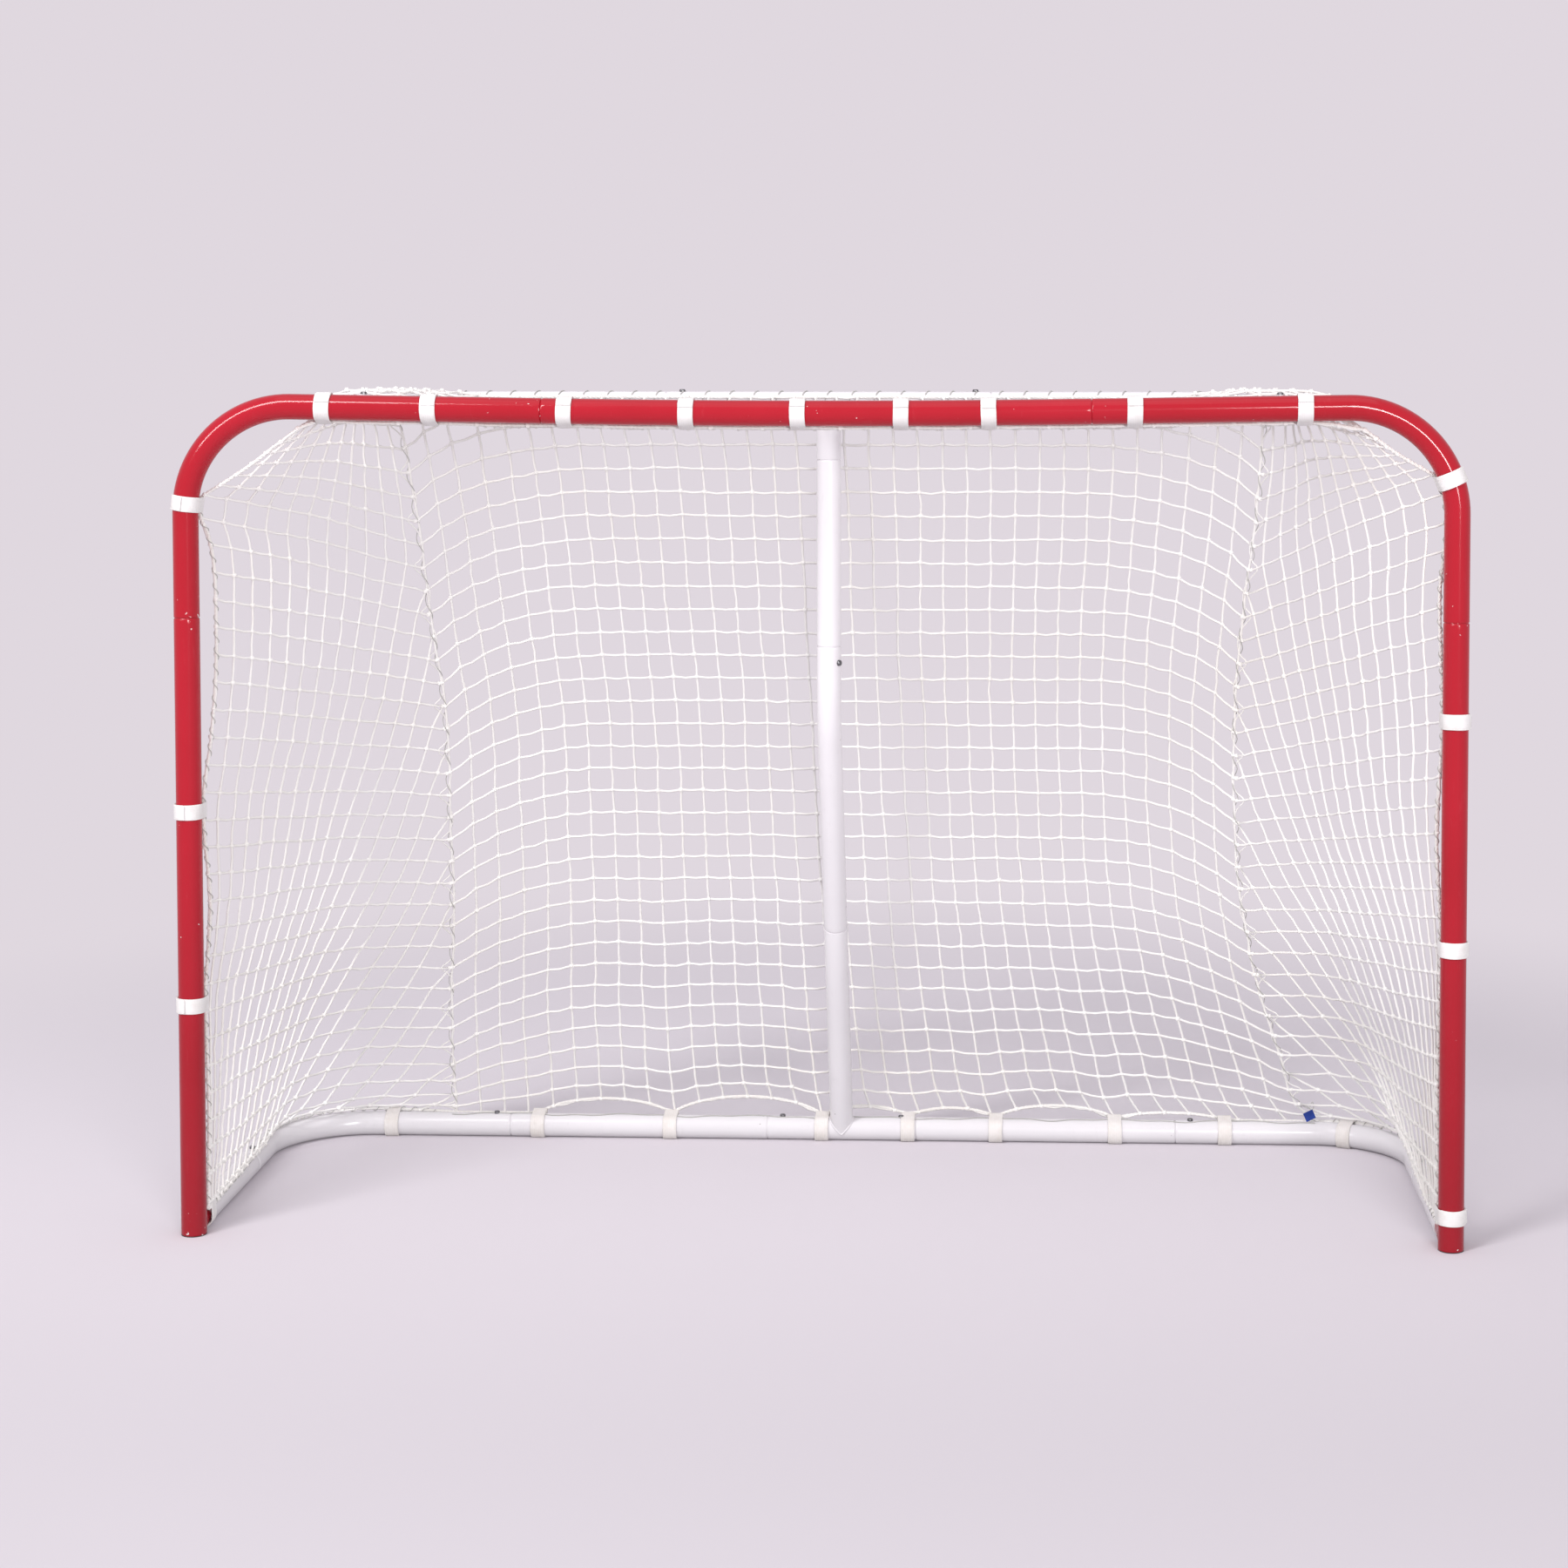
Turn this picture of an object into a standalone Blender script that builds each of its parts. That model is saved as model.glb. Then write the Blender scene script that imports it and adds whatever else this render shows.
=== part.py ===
"""Street hockey goal: a knock-down frame of swaged steel tubes with snap buttons, and a strapped net.

Metres, +Z up. The mouth faces -Y, the floor is z = 0 and the origin is under the middle of the goal.
Left and right are as seen from in front of the mouth, so left is -X.
"""

from math import acos, atan2, cos, pi, radians, sin, sqrt, tan

import bmesh
import bpy
from mathutils import Matrix, Vector

# The opening and the frame. Depths are between tube axes, from the posts back.
OPENING_WIDTH = 1.829
OPENING_HEIGHT = 1.219
BASE_DEPTH = 0.572
TOP_DEPTH = 0.276
BEND_RADIUS = 0.155
CROSSBAR_RISE = 0.002
CROSSBAR_DROOP = radians(0.9)
KNEE_HEIGHT = 0.752
KNEE_RADIUS = 0.25

# The tube, its swaged ends and its facets
TUBE_RADIUS = 0.01905
WALL = 0.0012
CLEARANCE = 0.0003
SWAGE_LENGTH = 0.050
NECK_LENGTH = 0.0025
SIDES = 16
BEND_STEPS = 6
KNEE_STEPS = 3
DROOP_STEPS = 4

# Where the tubes part: heights, half widths, depths, and lengths from the tube that each hangs on
CORNER_LENGTH = 0.314
CROSSBAR_JOINT = 0.404
COLLAR_DEPTH = 0.0455
LEG_JOINT_DEPTH = 0.313
BASE_JOINT = 0.556
BASE_TEE_HALF = 0.123
STEM_JOINT_HEIGHT = 0.386
SLEEVE_LENGTH = 0.105
TOP_STEM_LENGTH = 0.086
TOP_TEE_HALF = 0.252
ARM_OFFSET = 0.682

# Snap buttons
BUTTON_RADIUS = 0.0046
BUTTON_PROUD = 0.0035
BUTTON_INSET = 0.024
FLANGE_RADIUS = 0.006
FLANGE_THICKNESS = 0.0012
SPRING_LENGTH = 0.040
SPRING_WIDTH = 0.008
SPRING_DROP = 0.009
BUTTON_SIDES = 8
BACK_BUTTON_TURN = radians(58)

# Foot plugs
PLUG_FLANGE = 0.001
PLUG_LENGTH = 0.018
PLUG_WALL = 0.003

# Straps: where each sits along the crossbar, up the posts, and below the crossbar on the bends
STRAP_WIDTH = 0.0225
STRAP_THICKNESS = 0.0015
FOOT_STRAP_THICKNESS = 0.0008
CORD_RADIUS = 0.003
CORD_REACH = 0.024
CROSSBAR_STRAPS = (-0.726, -0.569, -0.369, -0.193, -0.026, 0.125, 0.253, 0.466, 0.7125)
LEFT_STRAPS = (0.347, 0.637)
RIGHT_STRAPS = (0.052, 0.447, 0.781)
LEFT_TOP_STRAP_DROP = 0.150
RIGHT_TOP_STRAP_DROP = 0.107
CROSSBAR_CORD_ANGLE = radians(-60)
TUBE_ARC_STEPS = 12
CORD_ARC_STEPS = 3

# The net: square strands, seams and how far the edges sag between straps
STRAND = 0.0044
SEAM_GAP = 0.007
BACK_COLUMNS = 11
BACK_ROWS = 7
SIDE_COLUMNS = 5
EDGE_SAG = 0.008
LEFT_SEAM_FOOT = 0.632
RIGHT_SEAM_FOOT = 0.757
LEFT_SEAM_TURN = radians(62)
RIGHT_SEAM_TURN = radians(54)
LEFT_SEAM_PULL = 0.030
RIGHT_SEAM_PULL = 0.058
LEFT_FREE_CORNER = 0.768
RIGHT_FREE_CORNER = 0.800
FREE_CORNER_DROP = 0.033
ROOF_ROW_DEPTH = 0.105

# Where each panel's edge lies round its tube, from straight up toward the outside
BACK_TOP_ANGLE = radians(62)
BACK_FOOT_ANGLE = radians(52)
FOOT_EDGE_ANGLE = radians(-45)
ROOF_BACK_ANGLE = radians(-25)
ROOF_SIDE_ANGLE = radians(24)
SIDE_TOP_ANGLE = radians(58)

# Worked out from the sizes above
BORE = TUBE_RADIUS - WALL
SPIGOT = BORE - CLEARANCE
POST_X = OPENING_WIDTH / 2 + TUBE_RADIUS
CORNER_Z = OPENING_HEIGHT + TUBE_RADIUS + CROSSBAR_RISE
STRAP_PROUD = CLEARANCE + STRAP_THICKNESS
NET_PROUD = CORD_REACH * sin(BACK_FOOT_ANGLE) + STRAND / 2 - TUBE_RADIUS
FRONT_Y = (STRAP_PROUD - NET_PROUD - BASE_DEPTH) / 2
BACK_Y = FRONT_Y + BASE_DEPTH
TOP_BACK_Y = FRONT_Y + TOP_DEPTH
FLOOR_Z = TUBE_RADIUS
TOP_Z = CORNER_Z - (POST_X - ARM_OFFSET) * tan(CROSSBAR_DROOP)
POST_BOTTOM = PLUG_FLANGE + CLEARANCE
POST_JOINT_Z = CORNER_Z - CORNER_LENGTH
POST_LEAN = atan2(BASE_DEPTH - TOP_DEPTH, KNEE_HEIGHT - FLOOR_Z)
BACK_POST_JOINT_Z = KNEE_HEIGHT + SLEEVE_LENGTH
TOP_STEM_JOINT_Z = TOP_Z - TOP_STEM_LENGTH
CROSSBAR_JOINT_Z = CORNER_Z - (POST_X - CROSSBAR_JOINT) * tan(CROSSBAR_DROOP)
BASE_FRAME = POST_X, BACK_Y, FLOOR_Z
TOP_FRAME = ARM_OFFSET, TOP_BACK_Y, TOP_Z

X_AXIS = Vector((1, 0, 0))
Y_AXIS = Vector((0, 1, 0))
Z_AXIS = Vector((0, 0, 1))


# Materials


def make_material(name, colour, roughness, metallic=0.0):
    material = bpy.data.materials.new(name)
    material.use_nodes = True
    shader = material.node_tree.nodes["Principled BSDF"]
    shader.inputs["Base Color"].default_value = (*colour, 1)
    shader.inputs["Roughness"].default_value = roughness
    shader.inputs["Metallic"].default_value = metallic
    return material


# Objects and Booleans


def add_object(name, mesh, material=None):
    thing = bpy.data.objects.new(name, mesh)
    bpy.context.collection.objects.link(thing)
    if material:
        mesh.materials.clear()
        mesh.materials.append(material)
        mesh.shade_smooth()
        mesh.set_sharp_from_angle(angle=radians(35))
    return thing


def mesh_from(name, points, faces):
    mesh = bpy.data.meshes.new(name)
    mesh.from_pydata([tuple(p) for p in points], [], faces)
    shape = bmesh.new()
    shape.from_mesh(mesh)
    bmesh.ops.recalc_face_normals(shape, faces=shape.faces)
    shape.to_mesh(mesh)
    shape.free()
    return mesh


def bake(thing):
    """Replaces an object's mesh by what its modifiers make of it."""
    bpy.context.view_layer.update()
    seen = thing.evaluated_get(bpy.context.evaluated_depsgraph_get())
    mesh = bpy.data.meshes.new_from_object(seen)
    thing.modifiers.clear()
    thing.data = mesh
    return thing


def combine(thing, others, operation):
    """Joins or cuts a solid with others, one after another."""
    for other in others:
        other.hide_render = True
        other.display_type = "WIRE"
        modifier = thing.modifiers.new(operation.title(), "BOOLEAN")
        modifier.operation = operation
        modifier.solver = "EXACT"
        modifier.object = other
        bake(thing)
        bpy.data.objects.remove(other)
    return thing


# Tubes


def run_through(points, radius=0.0, steps=BEND_STEPS):
    """Stations (place, direction) along straight runs whose corners are rounded to a radius."""
    points = [Vector(p) for p in points]
    first = (points[1] - points[0]).normalized()
    stations = [(points[0], first)]
    for before, corner, after in zip(points, points[1:], points[2:]):
        incoming = (corner - before).normalized()
        outgoing = (after - corner).normalized()
        turn = incoming.angle(outgoing)
        inward = (outgoing - incoming).normalized()
        centre = corner + inward * (radius / cos(turn / 2))
        axis = incoming.cross(outgoing).normalized()
        start = corner - incoming * (radius * tan(turn / 2))
        for i in range(steps + 1):
            spin = Matrix.Rotation(turn * i / steps, 3, axis)
            stations.append((centre + spin @ (start - centre), spin @ incoming))
    stations.append((points[-1], (points[-1] - points[-2]).normalized()))
    return stations


def with_ends(stations, male_start, male_end):
    """Adds tube radii to the stations, and a swaged spigot past each male end."""
    full = [(p, d, TUBE_RADIUS, BORE) for p, d in stations]
    slim = SPIGOT, SPIGOT - WALL
    neck = NECK_LENGTH + CLEARANCE
    if male_start:
        p, d = stations[0]
        full[0] = (p + d * neck, d, TUBE_RADIUS, BORE)
        full.insert(0, (p + d * CLEARANCE, d, *slim))
        full.insert(0, (p - d * SWAGE_LENGTH, d, *slim))
    if male_end:
        p, d = stations[-1]
        full[-1] = (p - d * neck, d, TUBE_RADIUS, BORE)
        full.append((p - d * CLEARANCE, d, *slim))
        full.append((p + d * SWAGE_LENGTH, d, *slim))
    return full


def swept(name, rings, side):
    """A capped solid through round sections (place, direction, radius), with a corner of each section along side."""
    points = []
    for place, direction, radius in rings:
        up = direction.cross(side).normalized()
        across = up.cross(direction).normalized()
        for i in range(SIDES):
            angle = 2 * pi * i / SIDES
            points.append(place + radius * (cos(angle) * across + sin(angle) * up))
    faces = [list(range(SIDES)), list(range(len(points) - SIDES, len(points)))]
    for ring in range(len(rings) - 1):
        base = ring * SIDES
        for i in range(SIDES):
            j = (i + 1) % SIDES
            faces.append([base + i, base + j, base + SIDES + j, base + SIDES + i])
    return add_object(name, mesh_from(name, points, faces))


def outer_solid(name, sections, side):
    return swept(name, [(p, d, outer) for p, d, outer, _ in sections], side)


def bore_solid(name, sections, side):
    """The hollow of a tube, carried a little past both of its ends."""
    rings = [(p, d, inner) for p, d, _, inner in sections]
    (p, d, r), (q, e, s) = rings[0], rings[-1]
    rings[0] = (p - d * WALL, d, r)
    rings[-1] = (q + e * WALL, e, s)
    return swept(name, rings, side)


def spigot_solids(place, direction, length, side):
    """A stub welded on a tube, as its outer solid and its blind bore."""
    root = TUBE_RADIUS + CLEARANCE
    tip = place + direction * length
    outer = swept("stub", [(place, direction, SPIGOT), (tip, direction, SPIGOT)], side)
    ends = [(place + direction * root, direction), (tip + direction * WALL, direction)]
    bore = swept("stub bore", [(p, d, SPIGOT - WALL) for p, d in ends], side)
    return outer, bore


def hole_cutters(seams):
    """Cutters for the snap button holes of seams (place, into the female tube, outward)."""
    cutters = []
    for place, inward, outward in seams:
        mesh = bpy.data.meshes.new("hole")
        shape = bmesh.new()
        bmesh.ops.create_cone(
            shape,
            cap_ends=True,
            segments=BUTTON_SIDES,
            radius1=BUTTON_RADIUS + CLEARANCE,
            radius2=BUTTON_RADIUS + CLEARANCE,
            depth=TUBE_RADIUS,
        )
        shape.to_mesh(mesh)
        shape.free()
        cutter = add_object("hole", mesh)
        middle = place + inward * BUTTON_INSET + outward * TUBE_RADIUS
        cutter.matrix_world = button_frame(middle, inward, outward)
        cutters.append(cutter)
    return cutters


def tube(name, sections, side, material, seams, stubs=()):
    """One hollow tube: outer solid and stubs, less the bores, less the button holes."""
    body = outer_solid(name, sections, side)
    pairs = [spigot_solids(*stub) for stub in stubs]
    combine(body, [outer for outer, _ in pairs], "UNION")
    combine(body, [bore_solid("bore", sections, side)], "DIFFERENCE")
    combine(body, [bore for _, bore in pairs], "DIFFERENCE")
    combine(body, hole_cutters(seams), "DIFFERENCE")
    return finish(body, material)


def finish(body, material):
    shape = bmesh.new()
    shape.from_mesh(body.data)
    bmesh.ops.dissolve_degenerate(shape, dist=1e-6, edges=shape.edges)
    shape.to_mesh(body.data)
    shape.free()
    body.data.materials.clear()
    body.data.materials.append(material)
    body.data.shade_smooth()
    body.data.set_sharp_from_angle(angle=radians(35))
    return body


# Snap buttons


def button_frame(place, inward, outward):
    """Local x runs out of the female tube along the spring, and z is the way the button sticks out."""
    across = outward.cross(-inward).normalized()
    turn = Matrix((-inward, across, outward)).transposed().to_4x4()
    return Matrix.Translation(place) @ turn


def button_mesh():
    """A domed pin on a round flange, with the arm of the V spring that carries it."""
    spigot_bore = (SPIGOT - WALL) * cos(pi / SIDES)
    seat = sqrt((spigot_bore - CLEARANCE) ** 2 - FLANGE_RADIUS**2) - TUBE_RADIUS
    profile = [
        (0.65 * BUTTON_RADIUS, BUTTON_PROUD),
        (BUTTON_RADIUS, 0.35 * BUTTON_PROUD),
        (BUTTON_RADIUS, seat),
        (FLANGE_RADIUS, seat),
        (FLANGE_RADIUS, seat - FLANGE_THICKNESS),
    ]
    points = []
    for radius, height in profile:
        for i in range(BUTTON_SIDES):
            angle = 2 * pi * i / BUTTON_SIDES
            points.append(Vector((radius * cos(angle), radius * sin(angle), height)))
    last = len(points) - BUTTON_SIDES
    faces = [list(range(BUTTON_SIDES)), list(range(last, len(points)))]
    for ring in range(len(profile) - 1):
        base = ring * BUTTON_SIDES
        for i in range(BUTTON_SIDES):
            j = (i + 1) % BUTTON_SIDES
            faces.append([base + i, base + j, base + BUTTON_SIDES + j, base + BUTTON_SIDES + i])
    pin = add_object("pin", mesh_from("pin", points, faces))
    top = seat - FLANGE_THICKNESS / 4
    half = SPRING_WIDTH / 2
    corners = []
    for x, drop in ((0, 0), (SPRING_LENGTH, SPRING_DROP)):
        for z in (top - drop, top - drop - FLANGE_THICKNESS / 2):
            corners += [Vector((x, -half, z)), Vector((x, half, z))]
    sides = [[0, 1, 3, 2], [4, 5, 7, 6], [0, 1, 5, 4], [2, 3, 7, 6], [0, 2, 6, 4], [1, 3, 7, 5]]
    spring = add_object("spring", mesh_from("spring", corners, sides))
    combine(pin, [spring], "UNION")
    mesh = pin.data
    bpy.data.objects.remove(pin)
    return mesh


def add_buttons(seams, material):
    mesh = button_mesh()
    mesh.materials.clear()
    mesh.materials.append(material)
    for name, (place, inward, outward) in seams.items():
        button = add_object(name, mesh)
        middle = place + inward * BUTTON_INSET + outward * TUBE_RADIUS
        button.matrix_world = button_frame(middle, inward, outward)


# The seams: where two tubes part, the way into the female one, and the way the button faces


def mirrored(vector):
    return Vector((-vector.x, vector.y, vector.z))


def lean_direction():
    return Vector((0, -sin(POST_LEAN), cos(POST_LEAN)))


def back_post_knee():
    """Where the leaning lower run of the back post meets the upright one."""
    return Vector((0, TOP_BACK_Y, KNEE_HEIGHT))


def stem_joint():
    up = lean_direction()
    return Vector((0, BACK_Y, FLOOR_Z)) + up * ((STEM_JOINT_HEIGHT - FLOOR_Z) / up.z)


def all_seams():
    """Each seam by the name of its snap button."""
    droop = Vector((cos(CROSSBAR_DROOP), 0, sin(CROSSBAR_DROOP)))
    lean = lean_direction()
    turned = Vector((sin(BACK_BUTTON_TURN), -cos(BACK_BUTTON_TURN), 0))
    right = {
        "post": (Vector((POST_X, FRONT_Y, POST_JOINT_Z)), Z_AXIS, Y_AXIS),
        "crossbar": (Vector((CROSSBAR_JOINT, FRONT_Y, CROSSBAR_JOINT_Z)), droop, Y_AXIS),
        "foot": (Vector((POST_X, FRONT_Y + COLLAR_DEPTH, FLOOR_Z)), Y_AXIS, Z_AXIS),
        "leg": (Vector((POST_X, FRONT_Y + LEG_JOINT_DEPTH, FLOOR_Z)), Y_AXIS, Z_AXIS),
        "base_corner": (Vector((BASE_JOINT, BACK_Y, FLOOR_Z)), X_AXIS, Z_AXIS),
        "base_tee": (Vector((BASE_TEE_HALF, BACK_Y, FLOOR_Z)), -X_AXIS, Z_AXIS),
        "arm": (Vector((ARM_OFFSET, FRONT_Y + COLLAR_DEPTH, TOP_Z)), Y_AXIS, Z_AXIS),
        "top_tee": (Vector((TOP_TEE_HALF, TOP_BACK_Y, TOP_Z)), -X_AXIS, Z_AXIS),
    }
    seams = {}
    for name, seam in right.items():
        seams[f"left_{name}_button"] = tuple(mirrored(v) for v in seam)
        seams[f"right_{name}_button"] = seam
    seams["stem_button"] = (stem_joint(), -lean, lean.cross(X_AXIS))
    joint = Vector((0, TOP_BACK_Y, BACK_POST_JOINT_Z))
    seams["back_post_button"] = (joint, -Z_AXIS, turned)
    top = Vector((0, TOP_BACK_Y, TOP_STEM_JOINT_Z))
    seams["top_stem_button"] = (top, Z_AXIS, Y_AXIS)
    return seams


# The frames


def pick(seams, *names):
    return [seams[f"{name}_button"] for name in names]


def front_frame(seams, red):
    for side, sign in (("left", -1), ("right", 1)):
        x = sign * POST_X
        foot = Vector((x, FRONT_Y, POST_BOTTOM))
        joint = Vector((x, FRONT_Y, POST_JOINT_Z))
        post = with_ends(run_through([foot, joint]), False, True)
        stub = Vector((x, FRONT_Y, FLOOR_Z)), Y_AXIS, COLLAR_DEPTH + SWAGE_LENGTH, Z_AXIS
        tube(f"{side}_post", post, Y_AXIS, red, pick(seams, f"{side}_post", f"{side}_foot"), [stub])
        corner = Vector((x, FRONT_Y, CORNER_Z))
        bar_end = Vector((sign * CROSSBAR_JOINT, FRONT_Y, CROSSBAR_JOINT_Z))
        bend = with_ends(run_through([joint, corner, bar_end], BEND_RADIUS), False, False)
        stub_root = Vector((sign * ARM_OFFSET, FRONT_Y, TOP_Z))
        stub = stub_root, Y_AXIS, COLLAR_DEPTH + SWAGE_LENGTH, Z_AXIS
        holes = pick(seams, f"{side}_post", f"{side}_crossbar", f"{side}_arm")
        tube(f"{side}_top_corner", bend, Y_AXIS, red, holes, [stub])
    holes = pick(seams, "left_crossbar", "right_crossbar")
    tube("crossbar_middle", with_ends(crossbar_arc(), True, True), Y_AXIS, red, holes)


def crossbar_arc():
    """The middle of the crossbar, which sags in one shallow arc."""
    radius = CROSSBAR_JOINT / sin(CROSSBAR_DROOP)
    centre = Vector((0, FRONT_Y, CROSSBAR_JOINT_Z + radius * cos(CROSSBAR_DROOP)))
    stations = []
    for i in range(DROOP_STEPS + 1):
        angle = CROSSBAR_DROOP * (2 * i / DROOP_STEPS - 1)
        place = centre + radius * Vector((sin(angle), 0, -cos(angle)))
        stations.append((place, Vector((cos(angle), 0, sin(angle)))))
    return stations


def base_frame(seams, white):
    for side, sign in (("left", -1), ("right", 1)):
        x = sign * POST_X
        collar = Vector((x, FRONT_Y + COLLAR_DEPTH, FLOOR_Z))
        joint = Vector((x, FRONT_Y + LEG_JOINT_DEPTH, FLOOR_Z))
        leg = with_ends(run_through([collar, joint]), False, True)
        tube(f"{side}_leg", leg, Z_AXIS, white, pick(seams, f"{side}_foot", f"{side}_leg"))
        corner = Vector((x, BACK_Y, FLOOR_Z))
        bar = Vector((sign * BASE_JOINT, BACK_Y, FLOOR_Z))
        bend = with_ends(run_through([joint, corner, bar], BEND_RADIUS), False, False)
        holes = pick(seams, f"{side}_leg", f"{side}_base_corner")
        tube(f"{side}_base_corner", bend, Z_AXIS, white, holes)
        tee_end = Vector((sign * BASE_TEE_HALF, BACK_Y, FLOOR_Z))
        straight = with_ends(run_through([bar, tee_end]), True, True)
        holes = pick(seams, f"{side}_base_corner", f"{side}_base_tee")
        tube(f"{side}_base_tube", straight, Z_AXIS, white, holes)
    stem = Vector((0, BACK_Y, FLOOR_Z)), stem_joint()
    tee("base_tee", BASE_TEE_HALF, stem, pick(seams, "left_base_tee", "right_base_tee", "stem"), white)


def tee(name, half, stem, seams, white):
    """A cross tube with a stem welded on, open at all three ends and hollow right through."""
    root, tip = stem
    across = [(root + X_AXIS * x, X_AXIS, TUBE_RADIUS, BORE) for x in (-half, half)]
    direction = (tip - root).normalized()
    upright = [(p, direction, TUBE_RADIUS, BORE) for p in (root, tip)]
    body = outer_solid(name, across, Z_AXIS)
    combine(body, [outer_solid("stem", upright, X_AXIS)], "UNION")
    combine(body, [bore_solid("bore", across, Z_AXIS)], "DIFFERENCE")
    blind = [(root, direction, BORE), (tip + direction * WALL, direction, BORE)]
    combine(body, [swept("stem bore", blind, X_AXIS)], "DIFFERENCE")
    combine(body, hole_cutters(seams), "DIFFERENCE")
    return finish(body, white)


def back_post(seams, white):
    joint = Vector((0, TOP_BACK_Y, BACK_POST_JOINT_Z))
    runs = run_through([stem_joint(), back_post_knee(), joint], KNEE_RADIUS, KNEE_STEPS)
    lower = with_ends(runs, True, False)
    tube("back_post_lower", lower, X_AXIS, white, pick(seams, "stem", "back_post"))
    top = Vector((0, TOP_BACK_Y, TOP_STEM_JOINT_Z))
    upper = with_ends(run_through([joint, top]), True, True)
    tube("back_post_upper", upper, X_AXIS, white, pick(seams, "back_post", "top_stem"))


def top_frame(seams, white):
    stem = Vector((0, TOP_BACK_Y, TOP_Z)), Vector((0, TOP_BACK_Y, TOP_STEM_JOINT_Z))
    holes = pick(seams, "left_top_tee", "right_top_tee", "top_stem")
    tee("top_tee", TOP_TEE_HALF, stem, holes, white)
    for side, sign in (("left", -1), ("right", 1)):
        x = sign * ARM_OFFSET
        collar = Vector((x, FRONT_Y + COLLAR_DEPTH, TOP_Z))
        corner = Vector((x, TOP_BACK_Y, TOP_Z))
        bar = Vector((sign * TOP_TEE_HALF, TOP_BACK_Y, TOP_Z))
        bend = with_ends(run_through([collar, corner, bar], BEND_RADIUS), False, True)
        holes = pick(seams, f"{side}_arm", f"{side}_top_tee")
        tube(f"{side}_top_frame_corner", bend, Z_AXIS, white, holes)


def foot_plugs(black):
    """A cup with a thin flange that the post stands on."""
    profile = [
        (TUBE_RADIUS, 0),
        (TUBE_RADIUS, PLUG_FLANGE),
        (SPIGOT, PLUG_FLANGE),
        (SPIGOT, PLUG_LENGTH),
        (SPIGOT - PLUG_WALL, PLUG_LENGTH),
        (SPIGOT - PLUG_WALL, PLUG_FLANGE + PLUG_WALL),
    ]
    for side, sign in (("left", -1), ("right", 1)):
        foot = Vector((sign * POST_X, FRONT_Y, 0))
        rings = [(foot + Z_AXIS * z, Z_AXIS, r) for r, z in profile]
        plug = swept(f"{side}_foot_plug", rings, Y_AXIS)
        finish(plug, black)


# Straps


def front_run(sign):
    """The axis of one side of the front frame, from the foot round the corner to the crossbar's joint."""
    foot = Vector((sign * POST_X, FRONT_Y, POST_BOTTOM))
    corner = Vector((sign * POST_X, FRONT_Y, CORNER_Z))
    bar_end = Vector((sign * CROSSBAR_JOINT, FRONT_Y, CROSSBAR_JOINT_Z))
    return run_through([foot, corner, bar_end], BEND_RADIUS)


def nearest_seat(stations, wanted):
    """The place on a run nearest to a wanted point, half a strap or more clear of its facet ends."""
    best = None
    margin = STRAP_WIDTH / 2 + 3 * CLEARANCE
    for (start, _), (end, _) in zip(stations, stations[1:]):
        length = (end - start).length
        if length < 2 * margin:
            continue
        along = (end - start) / length
        share = min(max((wanted - start).dot(along), margin), length - margin)
        place = start + along * share
        if best is None or (place - wanted).length < (best[0] - wanted).length:
            best = place, along
    return best


def crossbar_seat(x):
    """Centre, direction and cord direction of a strap on the crossbar."""
    if abs(x) < CROSSBAR_JOINT:
        stations = crossbar_arc()
    else:
        stations = front_run(-1 if x < 0 else 1)
    centre, along = nearest_seat(stations, Vector((x, FRONT_Y, CROSSBAR_JOINT_Z)))
    if along.x < 0:
        along = -along
    toward = Vector((0, cos(CROSSBAR_CORD_ANGLE), sin(CROSSBAR_CORD_ANGLE)))
    return centre, along, (toward - along * toward.dot(along)).normalized()


def post_seat(sign, height):
    """Centre, direction and cord direction of a strap on a post, or on the bend above it."""
    centre, along = nearest_seat(front_run(sign), Vector((sign * POST_X, FRONT_Y, height)))
    inward = Y_AXIS.cross(along) * -sign
    return centre, along, (inward + Y_AXIS).normalized()


def post_seats(side):
    """The straps of one post, from the floor up."""
    if side == "left":
        return [post_seat(-1, z) for z in (*LEFT_STRAPS, CORNER_Z - LEFT_TOP_STRAP_DROP)]
    return [post_seat(1, z) for z in (*RIGHT_STRAPS, CORNER_Z - RIGHT_TOP_STRAP_DROP)]


def foot_seat():
    """The left foot's strap sits on the stub, between the post and the leg."""
    depth = (TUBE_RADIUS + COLLAR_DEPTH) / 2
    centre = Vector((-POST_X, FRONT_Y + depth, FLOOR_Z))
    return centre, Y_AXIS, Vector((-sin(FOOT_EDGE_ANGLE), 0, cos(FOOT_EDGE_ANGLE)))


def loop_outline(tube_radius, cord_radius):
    """A taut loop round a tube at the origin and a cord at (CORD_REACH, 0), as a ring of (x, y) points."""
    spread = acos((tube_radius - cord_radius) / CORD_REACH)
    sweep = 2 * (pi - spread)
    grown = tube_radius / cos(sweep / TUBE_ARC_STEPS / 2)
    outline = []
    for i in range(TUBE_ARC_STEPS + 1):
        angle = spread + sweep * i / TUBE_ARC_STEPS
        outline.append((grown * cos(angle), grown * sin(angle)))
    grown = cord_radius / cos(spread / CORD_ARC_STEPS)
    for i in range(CORD_ARC_STEPS + 1):
        angle = -spread + 2 * spread * i / CORD_ARC_STEPS
        outline.append((CORD_REACH + grown * cos(angle), grown * sin(angle)))
    return outline


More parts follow.
